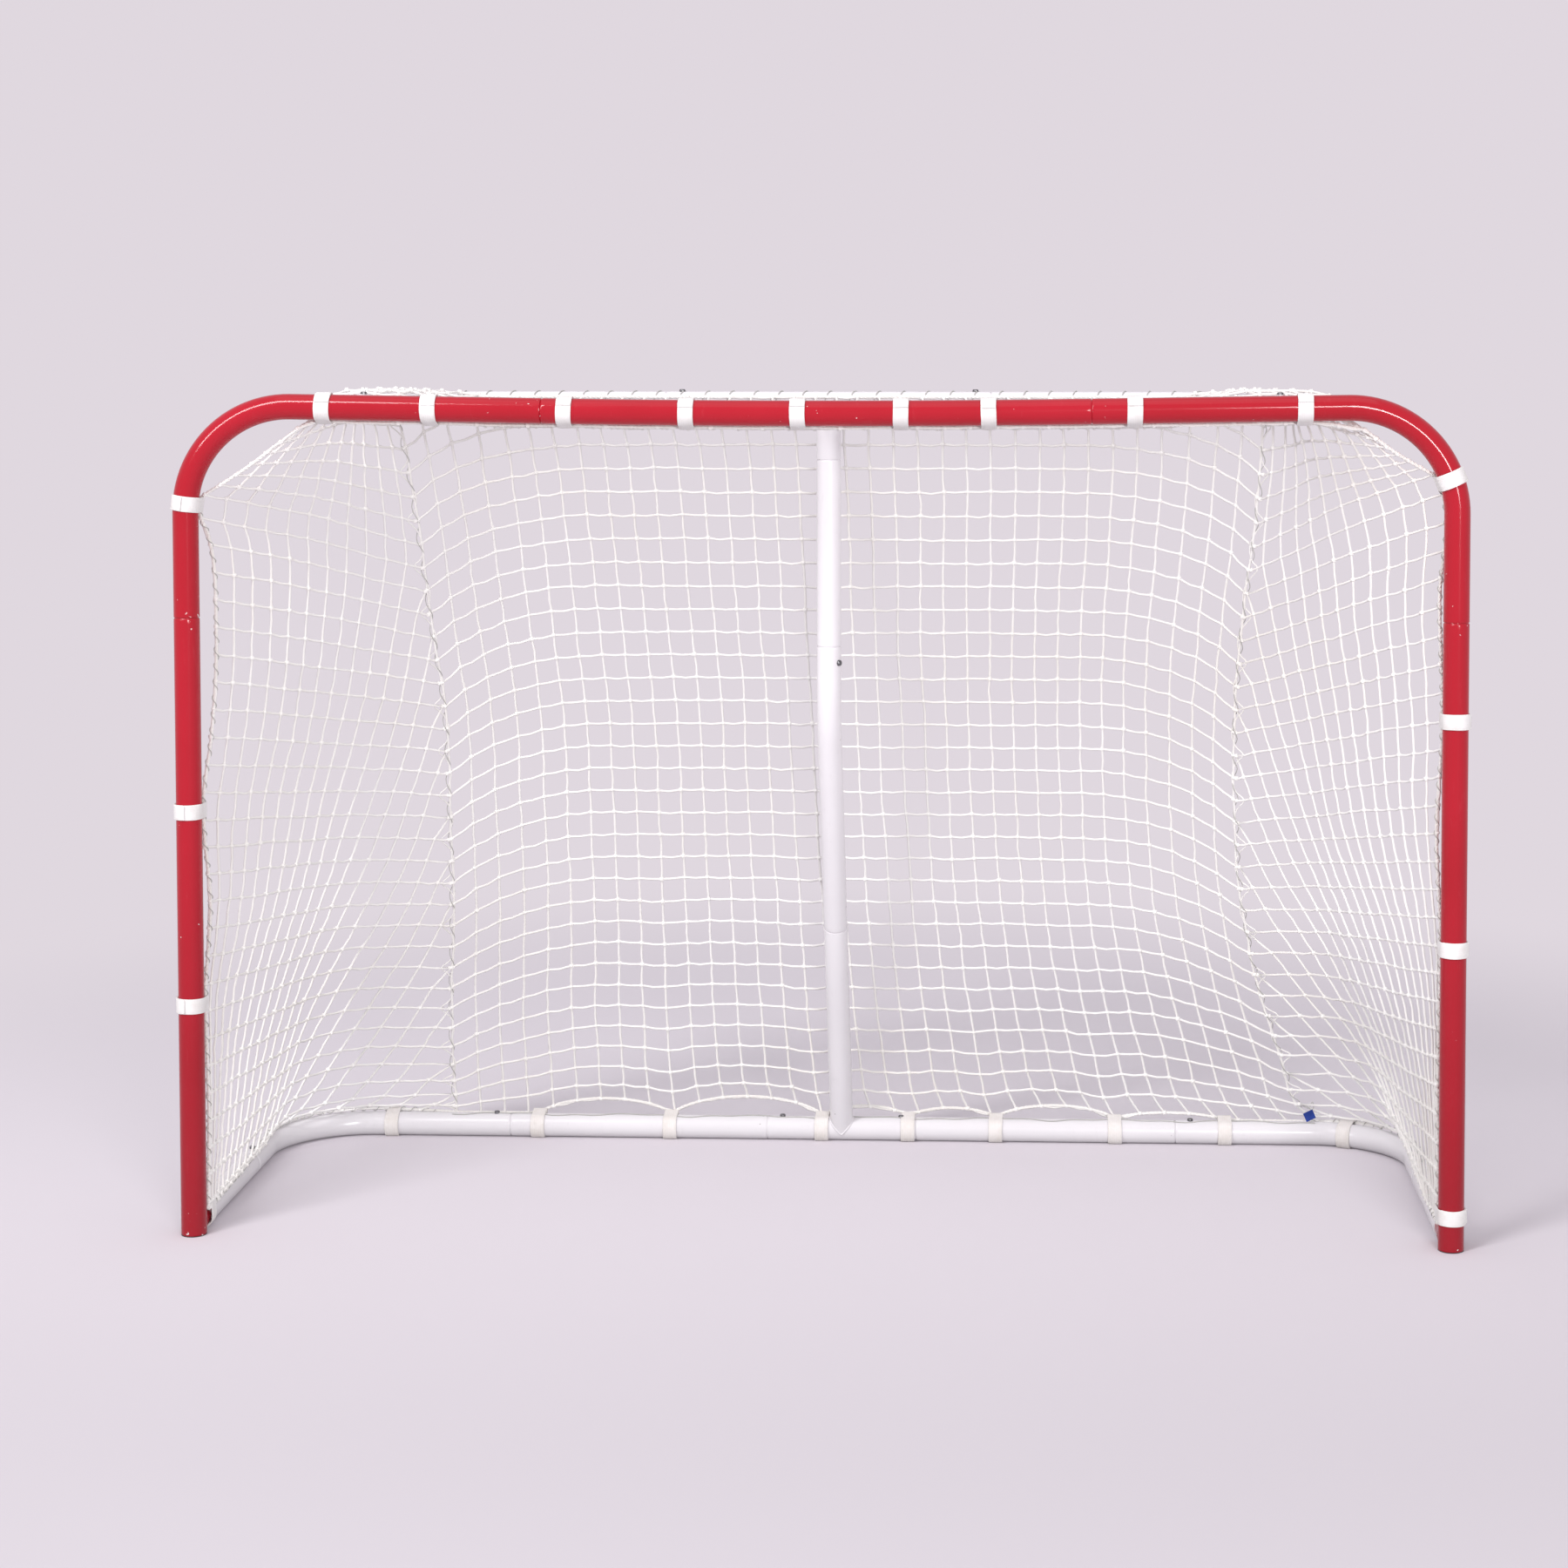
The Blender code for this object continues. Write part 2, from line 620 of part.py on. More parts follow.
def strap(name, seat, material, wrapped=TUBE_RADIUS, thickness=STRAP_THICKNESS):
    """A band round a tube that also holds the net's edge cord."""
    centre, along, toward = seat
    across = along.cross(toward).normalized()
    inner = loop_outline(wrapped + CLEARANCE, CORD_RADIUS + CLEARANCE)
    thick = thickness + CLEARANCE
    outer = loop_outline(wrapped + thick, CORD_RADIUS + thick)
    points = []
    for shift in (-STRAP_WIDTH / 2, STRAP_WIDTH / 2):
        for outline in (inner, outer):
            for x, y in outline:
                points.append(centre + along * shift + toward * x + across * y)
    count = len(inner)
    near_in, near_out, far_in, far_out = (k * count for k in range(4))
    faces = []
    for i in range(count):
        j = (i + 1) % count
        faces.append([near_in + i, near_in + j, near_out + j, near_out + i])
        faces.append([far_in + i, far_in + j, far_out + j, far_out + i])
        faces.append([near_in + i, near_in + j, far_in + j, far_in + i])
        faces.append([near_out + i, near_out + j, far_out + j, far_out + i])
    finish(add_object(name, mesh_from(name, points, faces)), material)


def all_straps(white):
    for number, x in enumerate(CROSSBAR_STRAPS, 1):
        strap(f"crossbar_strap_{number}", crossbar_seat(x), white)
    for side in ("left", "right"):
        for number, seat in enumerate(post_seats(side), 1):
            strap(f"{side}_post_strap_{number}", seat, white)
    strap("left_foot_strap", foot_seat(), white, SPIGOT, FOOT_STRAP_THICKNESS)


# The net


def net_panel(name, grid, hems, material):
    """A lattice of square strands over a grid of knots. Hems list the points where an edge bends between
    one knot and the next: low and high along the first and last rows, near and far up the sides."""
    rows, columns = len(grid) - 1, len(grid[0]) - 1
    points = [p for row in grid for p in row]

    def bends(hem, stretch, on_edge):
        extra = hems[hem][stretch] if on_edge and hem in hems else []
        points.extend(extra)
        return list(range(len(points) - len(extra), len(points)))

    faces = []
    for r in range(rows):
        for c in range(columns):
            k = r * (columns + 1) + c
            face = [k, *bends("low", c, r == 0)]
            face += [k + 1, *bends("far", r, c == columns - 1)]
            face += [k + columns + 2, *reversed(bends("high", c, r == rows - 1))]
            face += [k + columns + 1, *reversed(bends("near", r, c == 0))]
            faces.append(face)
    panel = add_object(name, mesh_from(name, points, faces))
    lattice = panel.modifiers.new("Strands", "WIREFRAME")
    lattice.thickness = STRAND
    lattice.use_replace = True
    lattice.use_boundary = True
    lattice.use_even_offset = False
    bake(panel)
    finish(panel, material)


def mix(a, b, share):
    return a * (1 - share) + b * share


def frame_distance(frame, depth):
    """Along a U-shaped frame's tube, from the middle of its back to a depth behind the posts."""
    half_width, back_y, _ = frame
    return half_width - BEND_RADIUS + BEND_RADIUS * pi / 2 + back_y - BEND_RADIUS - FRONT_Y - depth


def beside_frame(frame, distance, angle):
    """A point the cord's reach away from a U-shaped frame's axis: distance along the axis from the middle
    of its back, left being negative, and angle from straight up toward the outside of the U."""
    half_width, back_y, height = frame
    sign = -1 if distance < 0 else 1
    bar = half_width - BEND_RADIUS
    turn = max(0, min(pi / 2, (abs(distance) - bar) / BEND_RADIUS))
    arm = max(0, abs(distance) - bar - BEND_RADIUS * pi / 2)
    outward = Vector((sign * sin(turn), cos(turn), 0))
    hub = Vector((sign * min(abs(distance), bar), back_y - BEND_RADIUS - arm, height))
    return hub + outward * BEND_RADIUS + CORD_REACH * (sin(angle) * outward + cos(angle) * Z_AXIS)


def cord_through(seat):
    """Where a strap's cord enters and leaves it."""
    centre, along, toward = seat
    half = STRAP_WIDTH / 2 + STRAND
    return [centre + toward * CORD_REACH + along * shift for shift in (-half, half)]


def slack_cord(seat_before, seat_after):
    """The sagging middle of the edge cord between two straps."""
    centre = mix(seat_before[0], seat_after[0], 0.5)
    toward = mix(seat_before[2], seat_after[2], 0.5).normalized()
    return centre + toward * (CORD_REACH + EDGE_SAG)


def seam_ends(side):
    """How far along the top frame and the base frame a side seam starts and ends."""
    straight = ARM_OFFSET - BEND_RADIUS
    if side == "left":
        return straight + BEND_RADIUS * LEFT_SEAM_TURN, LEFT_SEAM_FOOT
    return straight + BEND_RADIUS * RIGHT_SEAM_TURN, RIGHT_SEAM_FOOT


def back_panel_point(across, up):
    """A point of the back panel: across from the left seam to the right one, up from the base bar."""
    left_top, left_foot = seam_ends("left")
    right_top, right_foot = seam_ends("right")
    top = beside_frame(TOP_FRAME, mix(-left_top, right_top, across), BACK_TOP_ANGLE)
    foot = beside_frame(BASE_FRAME, mix(-left_foot, right_foot, across), BACK_FOOT_ANGLE)
    pull = LEFT_SEAM_PULL * (1 - across) ** 2 - RIGHT_SEAM_PULL * across**2
    return mix(foot, top, up) + X_AXIS * pull * 4 * up * (1 - up)


def back_panel(material):
    inset = SEAM_GAP / 2 / (LEFT_SEAM_FOOT + RIGHT_SEAM_FOOT)
    shares = [mix(inset, 1 - inset, i / BACK_COLUMNS) for i in range(BACK_COLUMNS + 1)]
    grid = [[back_panel_point(s, r / BACK_ROWS) for s in shares] for r in range(BACK_ROWS + 1)]
    high = [[back_panel_point(mix(a, b, k / 3), 1) for k in (1, 2)] for a, b in zip(shares, shares[1:])]
    net_panel("back_net", grid, {"high": high}, material)


def free_corner(side, sign):
    """The side panel's front top corner, which hangs below the crossbar."""
    x = LEFT_FREE_CORNER if side == "left" else RIGHT_FREE_CORNER
    z = CORNER_Z - (POST_X - x) * tan(CROSSBAR_DROOP) - FREE_CORNER_DROP
    return Vector((sign * x, FRONT_Y + CORD_REACH / 2, z))


def roof_panel(material):
    """From under the crossbar, where the straps hold it, up and back over the top frame."""
    seats = [crossbar_seat(x) for x in CROSSBAR_STRAPS]
    laced = Vector((SEAM_GAP, 0, SEAM_GAP))
    front = [free_corner("left", -1) + laced]
    front += [slack_cord(a, b) for a, b in zip(seats, seats[1:])]
    front.append(free_corner("right", 1) + mirrored(laced))
    last = len(front) - 1
    left_top, right_top = seam_ends("left")[0], seam_ends("right")[0]
    marks = [mix(-left_top, right_top, i / last) for i in range(last + 1)]
    back = [beside_frame(TOP_FRAME, mark, ROOF_BACK_ANGLE) for mark in marks]
    share = ROOF_ROW_DEPTH / TOP_DEPTH
    middle = [mix(near, far, share) for near, far in zip(front, back)]
    for point in middle:
        point.y = FRONT_Y + ROOF_ROW_DEPTH
        point.z = TOP_Z + CORD_REACH + STRAND / 2
    arm = frame_distance(TOP_FRAME, ROOF_ROW_DEPTH)
    middle[0] = beside_frame(TOP_FRAME, -arm, ROOF_SIDE_ANGLE)
    middle[-1] = beside_frame(TOP_FRAME, arm, ROOF_SIDE_ANGLE)
    low = [cord_through(seat) for seat in seats]
    net_panel("roof_net", [front, middle, back], {"low": low}, material)


def side_foot_point(side, sign, share):
    """A point of a side panel's lower edge: from beside the post, along the base frame, to the seam."""
    start = frame_distance(BASE_FRAME, -CORD_REACH * sin(FOOT_EDGE_ANGLE))
    end = seam_ends(side)[1] + SEAM_GAP / 2
    angle = mix(FOOT_EDGE_ANGLE, BACK_FOOT_ANGLE, share**2)
    return beside_frame(BASE_FRAME, sign * mix(start, end, share), angle)


def side_panel(side, material):
    """From the post to the side seam, and from the base frame up to the crossbar and the top frame."""
    sign = -1 if side == "left" else 1
    seats = post_seats(side)
    bottom = [side_foot_point(side, sign, c / SIDE_COLUMNS) for c in range(SIDE_COLUMNS + 1)]
    low = []
    for c in range(SIDE_COLUMNS):
        low.append([side_foot_point(side, sign, (c + k / 3) / SIDE_COLUMNS) for k in (1, 2)])
    front = [bottom[0]] + [slack_cord(a, b) for a, b in zip(seats, seats[1:])]
    near = [cord_through(seat) for seat in seats]
    if side == "left":
        front.insert(1, mix(bottom[0], near[0][0], 0.5))
        near.insert(0, [])
    else:
        near[0] = near[0][1:]
    front.append(near[-1][1] + seats[-1][1] * 2 * STRAND)
    hook = free_corner(side, sign)
    arm = frame_distance(TOP_FRAME, ROOF_ROW_DEPTH)
    seam_top = seam_ends(side)[0] + SEAM_GAP / 2
    top = [front[-1], mix(front[-1], hook, 0.5), hook]
    for share in (0, 0.5, 1):
        top.append(beside_frame(TOP_FRAME, sign * mix(arm, seam_top, share), SIDE_TOP_ANGLE))
    rows = len(front) - 1
    across = 0 if side == "left" else 1
    shift = X_AXIS * sign * SEAM_GAP / 2
    seam = [bottom[-1]]
    seam += [back_panel_point(across, r / rows) + shift for r in range(1, rows)]
    seam.append(top[-1])
    net_panel(f"{side}_net", fill_between(bottom, top, front, seam), {"low": low, "near": near}, material)


def fill_between(bottom, top, near, far):
    """Rows of knots filling the patch inside four edges."""
    rows, columns = len(near) - 1, len(bottom) - 1
    grid = []
    for r in range(rows + 1):
        row = []
        for c in range(columns + 1):
            across, up = c / columns, r / rows
            ruled = mix(near[r], far[r], across) + mix(bottom[c], top[c], up)
            corners = mix(mix(near[0], far[0], across), mix(near[-1], far[-1], across), up)
            row.append(ruled - corners)
        grid.append(row)
    return grid


def main():
    for thing in list(bpy.data.objects):
        bpy.data.objects.remove(thing)
    red = make_material("red paint", (0.46, 0.012, 0.028), 0.32)
    white = make_material("white paint", (0.80, 0.80, 0.83), 0.35)
    steel = make_material("dark steel", (0.20, 0.20, 0.21), 0.40, 1.0)
    black = make_material("black plastic", (0.03, 0.03, 0.03), 0.55)
    webbing = make_material("white strap", (0.82, 0.81, 0.78), 0.85)
    cord = make_material("net cord", (0.80, 0.78, 0.72), 0.90)
    seams = all_seams()
    front_frame(seams, red)
    base_frame(seams, white)
    back_post(seams, white)
    top_frame(seams, white)
    add_buttons(seams, steel)
    foot_plugs(black)
    all_straps(webbing)
    roof_panel(cord)
    back_panel(cord)
    side_panel("left", cord)
    side_panel("right", cord)


main()
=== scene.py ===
from bisect import bisect
from math import acos, atan2, cos, exp, pi, radians, sin, sqrt, tan

import bmesh
import bpy
from mathutils import Matrix, Vector, noise


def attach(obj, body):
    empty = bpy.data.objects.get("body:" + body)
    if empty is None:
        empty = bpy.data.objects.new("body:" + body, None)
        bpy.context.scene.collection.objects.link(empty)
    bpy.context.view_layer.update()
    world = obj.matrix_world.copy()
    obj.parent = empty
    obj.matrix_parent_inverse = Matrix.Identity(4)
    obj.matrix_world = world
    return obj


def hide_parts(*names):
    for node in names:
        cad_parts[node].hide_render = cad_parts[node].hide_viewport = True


# the net hangs in the same uneven way each time
noise.seed_set(1)

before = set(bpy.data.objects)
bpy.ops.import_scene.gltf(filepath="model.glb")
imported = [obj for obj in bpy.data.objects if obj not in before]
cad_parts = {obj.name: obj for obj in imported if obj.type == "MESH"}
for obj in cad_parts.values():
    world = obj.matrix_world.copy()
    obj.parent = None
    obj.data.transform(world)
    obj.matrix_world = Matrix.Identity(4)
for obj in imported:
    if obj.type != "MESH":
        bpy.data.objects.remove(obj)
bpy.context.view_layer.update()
print("frame loaded,", len(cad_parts), "nodes")

xAxis, yAxis, zAxis = Vector((1, 0, 0)), Vector((0, 1, 0)), Vector((0, 0, 1))
bothSides = (("left", -1), ("right", 1))

# where the tubes run, in metres, as the CAD has them
goal = {
    "postX": 0.93355,
    "frontY": -0.286131,
    "backY": 0.285869,
    "topBackY": -0.010131,
    "floorZ": 0.01905,
    "cornerZ": 1.24005,
    "armX": 0.682,
    "bend": 0.155,
    "droop": radians(0.9),
    "crossbarJoint": 0.404,
    "postJointZ": 0.92605,
    "collar": 0.0455,
    "legJoint": 0.313,
    "baseJoint": 0.556,
    "baseTee": 0.123,
    "stemZ": 0.386,
    "kneeZ": 0.752,
    "kneeBend": 0.25,
    "backPostJointZ": 0.857,
    "topTee": 0.252,
    "topStem": 0.086,
    "buttonInset": 0.024,
    "backButtonTurn": radians(58),
    "postBottom": 0.0013,
}
goal["topZ"] = goal["cornerZ"] - (goal["postX"] - goal["armX"]) * tan(goal["droop"])
goal["crossbarZ"] = goal["cornerZ"] - (goal["postX"] - goal["crossbarJoint"]) * tan(goal["droop"])
goal["lean"] = atan2(goal["backY"] - goal["topBackY"], goal["kneeZ"] - goal["floorZ"])

tube = {
    "radius": 0.01905,
    "wall": 0.0012,
    "spigot": 0.01755,
    "swage": 0.050,
    "neck": 0.0030,
    "sides": 56,
    "bendSteps": 26,
    "shapedEnd": 0.012,
    "wearFade": 0.02,
}


def mix(a, b, share):
    return a * (1 - share) + b * share


def smoothStep(x, low, high):
    t = max(0.0, min(1.0, (x - low) / (high - low)))
    return t * t * (3 - 2 * t)


# node trees, for materials and for geometry

def addNode(tree, kind, inputs=None, **settings):
    made = tree.nodes.new(kind)
    for key, value in settings.items():
        setattr(made, key, value)
    for key, value in (inputs or {}).items():
        if isinstance(value, bpy.types.NodeSocket):
            tree.links.new(value, made.inputs[key])
        else:
            made.inputs[key].default_value = value
    return made


def blankMaterial(name, roughness=0.5, **fixed):
    material = bpy.data.materials.new(name)
    material.use_nodes = True
    tree = material.node_tree
    shader = tree.nodes["Principled BSDF"]
    shader.inputs["Roughness"].default_value = roughness
    for socket, value in fixed.items():
        shader.inputs[socket.replace("_", " ")].default_value = value
    return material, tree, shader


def ramp(tree, factor, stops):
    made = addNode(tree, "ShaderNodeValToRGB", {"Fac": factor})
    marks = made.color_ramp.elements
    while len(marks) < len(stops):
        marks.new(0.5)
    for mark, (place, colour) in zip(marks, stops):
        mark.position = place
        mark.color = (*colour, 1) if len(colour) == 3 else colour
    return made.outputs["Color"]


def grey(value):
    return (value, value, value)


def mixColour(tree, factor, a, b, kind="MIX"):
    a, b = (v if isinstance(v, bpy.types.NodeSocket) else (*v, 1) for v in (a, b))
    return addNode(tree, "ShaderNodeMix", {0: factor, 6: a, 7: b}, data_type="RGBA", blend_type=kind).outputs[2]


def maths(tree, kind, a, b=0.0, c=0.0):
    return addNode(tree, "ShaderNodeMath", {0: a, 1: b, 2: c}, operation=kind).outputs[0]


def smoothRange(tree, value, low, high):
    return addNode(tree, "ShaderNodeMapRange", {
        "Value": value, "From Min": low, "From Max": high,
    }, interpolation_type="SMOOTHSTEP").outputs[0]


def shadeNoise(tree, place, scale, detail=3.0, roughness=0.55):
    return addNode(tree, "ShaderNodeTexNoise", {
        "Vector": place, "Scale": scale, "Detail": detail, "Roughness": roughness,
    }).outputs["Fac"]


def bump(tree, strength, distance, height, over=None, invert=False):
    made = addNode(tree, "ShaderNodeBump", {
        "Strength": strength, "Distance": distance, "Height": height,
    }, invert=invert)
    if over is not None:
        tree.links.new(over, made.inputs["Normal"])
    return made.outputs[0]


def wire(tree, shader, **sources):
    for socket, source in sources.items():
        tree.links.new(source, shader.inputs[socket.replace("_", " ")])


def seenDirectly(tree):
    # 1 for rays from the camera, in gloss and through glass, 0 for light that bounces
    path = addNode(tree, "ShaderNodeLightPath")
    return maths(tree, "MAXIMUM", path.outputs["Is Camera Ray"],
                 maths(tree, "MAXIMUM", path.outputs["Is Glossy Ray"], path.outputs["Is Transmission Ray"]))


def paintMaterial(name, colour, shadow, primer, scuff, chips, roughness, low=1.0):
    material, tree, shader = blankMaterial(name, roughness, IOR=1.45)
    place = addNode(tree, "ShaderNodeTexCoord").outputs["Object"]
    worn = addNode(tree, "ShaderNodeAttribute", attribute_name="wear").outputs["Fac"]
    # broad fading of the paint, then light rubs, then chips down to the primer
    broad = shadeNoise(tree, place, 5.0, 4.0)
    base = mixColour(tree, ramp(tree, broad, [(0.35, grey(0)), (0.7, grey(1))]), shadow, colour)
    streaks = addNode(tree, "ShaderNodeMapping", {"Vector": place, "Scale": (55, 55, 9)}).outputs[0]
    rubs = ramp(tree, shadeNoise(tree, streaks, 1.6, 6.0, 0.7), [(0.60, grey(0)), (0.78, grey(scuff[1]))])
    base = mixColour(tree, rubs, base, scuff[0])
    # duller and darker down by the floor
    height = addNode(tree, "ShaderNodeSeparateXYZ", {"Vector": place}).outputs["Z"]
    dull = addNode(tree, "ShaderNodeMapRange", {
        "Value": height, "From Max": 0.75, "To Min": low, "To Max": 1.0,
    }, interpolation_type="SMOOTHSTEP").outputs[0]
    base = mixColour(tree, 1.0, base, dull, "MULTIPLY")
    specks = shadeNoise(tree, place, 150.0, 2.0, 0.5)
    edge = maths(tree, "MULTIPLY", worn, 0.10)
    chipped = ramp(tree, maths(tree, "ADD", specks, edge), [(chips, grey(0)), (chips + 0.012, grey(1))])
    base = mixColour(tree, chipped, base, primer)
    rough = maths(tree, "MULTIPLY_ADD", broad, 0.10, roughness - 0.05)
    rough = maths(tree, "ADD", rough, maths(tree, "MULTIPLY", chipped, 0.35))
    peel = bump(tree, 0.05, 0.0004, shadeNoise(tree, place, 330.0, 2.0))
    wire(tree, shader, Base_Color=base, Roughness=rough, Normal=bump(tree, 0.5, 0.0003, chipped, peel, True))
    return material


def steelMaterial():
    material, tree, shader = blankMaterial("darkSpringSteel", 0.34, Metallic=1.0)
    place = addNode(tree, "ShaderNodeTexCoord").outputs["Object"]
    tarnish = shadeNoise(tree, place, 210.0, 4.0)
    colour = ramp(tree, tarnish, [(0.3, (0.10, 0.10, 0.105)), (0.62, (0.24, 0.24, 0.25)), (0.8, (0.30, 0.24, 0.18))])
    rough = maths(tree, "MULTIPLY_ADD", tarnish, 0.3, 0.2)
    grain = bump(tree, 0.25, 0.0002, shadeNoise(tree, place, 900.0))
    wire(tree, shader, Base_Color=colour, Roughness=rough, Normal=grain)
    return material


def plasticMaterial():
    material, tree, shader = blankMaterial("footPlastic", 0.5)
    place = addNode(tree, "ShaderNodeTexCoord").outputs["Object"]
    dust = shadeNoise(tree, place, 60.0, 6.0, 0.7)
    colour = ramp(tree, dust, [(0.4, (0.022, 0.022, 0.023)), (0.75, (0.10, 0.095, 0.09))])
    wire(tree, shader, Base_Color=colour, Normal=bump(tree, 0.3, 0.0003, shadeNoise(tree, place, 700.0)))
    return material


def webbingMaterial(name, colour, dirtAndShade):
    material, tree, shader = blankMaterial(name, 0.85, Sheen_Weight=0.25, Sheen_Roughness=0.4)
    place = addNode(tree, "ShaderNodeTexCoord").outputs["Object"]
    uv = addNode(tree, "ShaderNodeUVMap", uv_map="weave").outputs[0]
    ribs = addNode(tree, "ShaderNodeTexWave", {
        "Vector": uv, "Scale": 190.0, "Distortion": 0.6, "Detail": 1.0, "Detail Scale": 2.0,
    }, wave_type="BANDS", bands_direction="X").outputs["Fac"]
    picks = addNode(tree, "ShaderNodeTexWave", {
        "Vector": uv, "Scale": 120.0, "Distortion": 0.8, "Detail": 1.0, "Detail Scale": 2.0,
    }, wave_type="BANDS", bands_direction="Y").outputs["Fac"]
    weave = maths(tree, "MULTIPLY", ribs, picks)
    stain = ramp(tree, shadeNoise(tree, place, 38.0, 5.0, 0.65), [(0.42, grey(0)), (0.8, grey(1))])
    base = mixColour(tree, stain, colour, dirtAndShade)
    # painted shade: the hollows of the weave are darkened toward the darker colour; the same colour also gives the
    # real stains above
    shade = mixColour(tree, ramp(tree, weave, [(0.0, grey(0.14)), (0.35, grey(0))]), base, dirtAndShade, "MULTIPLY")
    fuzz = bump(tree, 0.25, 0.0005, shadeNoise(tree, place, 1300.0, 2.0), bump(tree, 0.5, 0.0004, weave))
    wire(tree, shader, Base_Color=shade, Normal=fuzz)
    return material


def cordMaterial(name, colour, dirtAndShade, twists):
    material, tree, shader = blankMaterial(name, 0.8, Sheen_Weight=0.15, Sheen_Roughness=0.5)
    place = addNode(tree, "ShaderNodeTexCoord").outputs["Object"]
    lay = addNode(tree, "ShaderNodeUVMap", uv_map="lay").outputs[0]
    stain = ramp(tree, shadeNoise(tree, place, 3.2, 4.0, 0.6), [(0.38, grey(0)), (0.75, grey(1))])
    base = mixColour(tree, stain, colour, dirtAndShade)
    # yarns wind round the cord: u runs along it in metres, v once round it
    parts = addNode(tree, "ShaderNodeSeparateXYZ", {"Vector": lay})
    turns = maths(tree, "MULTIPLY", parts.outputs[0], twists)
    phase = maths(tree, "MULTIPLY", maths(tree, "ADD", turns, maths(tree, "MULTIPLY", parts.outputs[1], 3.0)), 2 * pi)
    yarn = maths(tree, "MULTIPLY_ADD", maths(tree, "SINE", phase), 0.5, 0.5)
    # painted shade: the grooves between the yarns are darkened toward the darker colour; the same colour also gives
    # the real stains above
    shade = mixColour(tree, ramp(tree, yarn, [(0.0, grey(0.18)), (0.45, grey(0))]), base, dirtAndShade, "MULTIPLY")
    fuzz = bump(tree, 0.3, 0.0004, shadeNoise(tree, place, 1500.0, 2.0), bump(tree, 0.45, 0.0006, yarn))
    wire(tree, shader, Base_Color=shade, Normal=fuzz)
    return material


redPaint = paintMaterial("redPaint", (0.43, 0.005, 0.018), (0.39, 0.004, 0.014), (0.72, 0.62, 0.62),
                         ((0.50, 0.05, 0.065), 0.3), 0.785, 0.12, 0.74)
whitePaint = paintMaterial("whitePaint", (0.83, 0.80, 0.83), (0.80, 0.77, 0.80), (0.34, 0.31, 0.30),
                           ((0.62, 0.59, 0.60), 0.3), 0.80, 0.22, 0.90)
springSteel = steelMaterial()
footPlastic = plasticMaterial()
strapWebbing = webbingMaterial("strapWebbing", (0.83, 0.81, 0.81), (0.72, 0.68, 0.66))
agedWebbing = webbingMaterial("agedWebbing", (0.80, 0.76, 0.745), (0.70, 0.65, 0.61))
tagWebbing = webbingMaterial("tagWebbing", (0.012, 0.045, 0.30), (0.008, 0.03, 0.20))
netCord = cordMaterial("netCord", (0.90, 0.88, 0.87), (0.82, 0.785, 0.75), 260.0)
# painted shadow: the lacing twine is real, but it is coloured grey so that its lines and dashes stand in for the
# shadows the lacing casts
shadowGreyTwine = cordMaterial("shadowGreyTwine", (0.54, 0.53, 0.51), (0.40, 0.39, 0.37), 420.0)
edgeRope = cordMaterial("edgeRope", (0.88, 0.86, 0.84), (0.74, 0.70, 0.66), 180.0)
print("materials made")


# meshes and objects

def placeObject(name, mesh, material, body="goal", slot=None, replaces=()):
    thing = bpy.data.objects.new(name, mesh)
    bpy.context.scene.collection.objects.link(thing)
    if material and not mesh.materials:
        mesh.materials.append(material)
    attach(thing, body)
    if replaces:
        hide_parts(*replaces)
    return thing


def smoothMesh(mesh, angle=35):
    mesh.shade_smooth()
    mesh.set_sharp_from_angle(angle=radians(angle))


def rounded(points, radius, steps=None):
    # stations (place, direction) along straight runs whose corners are rounded
    steps = steps or tube["bendSteps"]
    points = [Vector(p) for p in points]
    stations = [(points[0], (points[1] - points[0]).normalized())]
    for before, corner, after in zip(points, points[1:], points[2:]):
        incoming = (corner - before).normalized()
        outgoing = (after - corner).normalized()
        turn = incoming.angle(outgoing)
        centre = corner + (outgoing - incoming).normalized() * (radius / cos(turn / 2))
        start = corner - incoming * (radius * tan(turn / 2))
        axis = incoming.cross(outgoing).normalized()
        for i in range(steps + 1):
            spin = Matrix.Rotation(turn * i / steps, 3, axis)
            stations.append((centre + spin @ (start - centre), spin @ incoming))
    stations.append((points[-1], (points[-1] - points[-2]).normalized()))
    return stations


def filled(stations, step=0.09):
    # more stations on the long straight runs, so that wear can fade along them
    full = [stations[0]]
    for (p, d), (q, e) in zip(stations, stations[1:]):
        count = max(1, int((q - p).length / step))
        for i in range(1, count + 1):
            full.append((mix(p, q, i / count), mix(d, e, i / count).normalized()))
    return full


def sweptRings(rings, side, sides, saddle=None):
    # rings of (place, direction, radius); a corner of each lies along side
    points = []
    for number, (place, direction, radius) in enumerate(rings):
        up = direction.cross(side).normalized()
        across = up.cross(direction).normalized()
        for i in range(sides):
            angle = 2 * pi * i / sides
            spot = place + radius * (cos(angle) * across + sin(angle) * up)
            if saddle and number in saddle:
                spot += direction * saddle[number](cos(angle) * across + sin(angle) * up, radius)
            points.append(spot)
    return points


def ringFaces(count, sides, closed, start=0):
    faces = []
    for ring in range(count if closed else count - 1):
        a, b = start + ring * sides, start + (ring + 1) % count * sides
        for i in range(sides):
            j = (i + 1) % sides
            faces.append((a + i, a + j, b + j, b + i))
    return faces


def faceOutwards(mesh):
    shape = bmesh.new()
    shape.from_mesh(mesh)
    bmesh.ops.recalc_face_normals(shape, faces=shape.faces)
    shape.to_mesh(mesh)
    shape.free()


def meshOf(name, points, faces, wear=None):
    mesh = bpy.data.meshes.new(name)
    mesh.from_pydata([tuple(p) for p in points], [], faces)
    if wear is not None:
        mesh.attributes.new("wear", "FLOAT", "POINT").data.foreach_set("value", wear)
    faceOutwards(mesh)
    return mesh


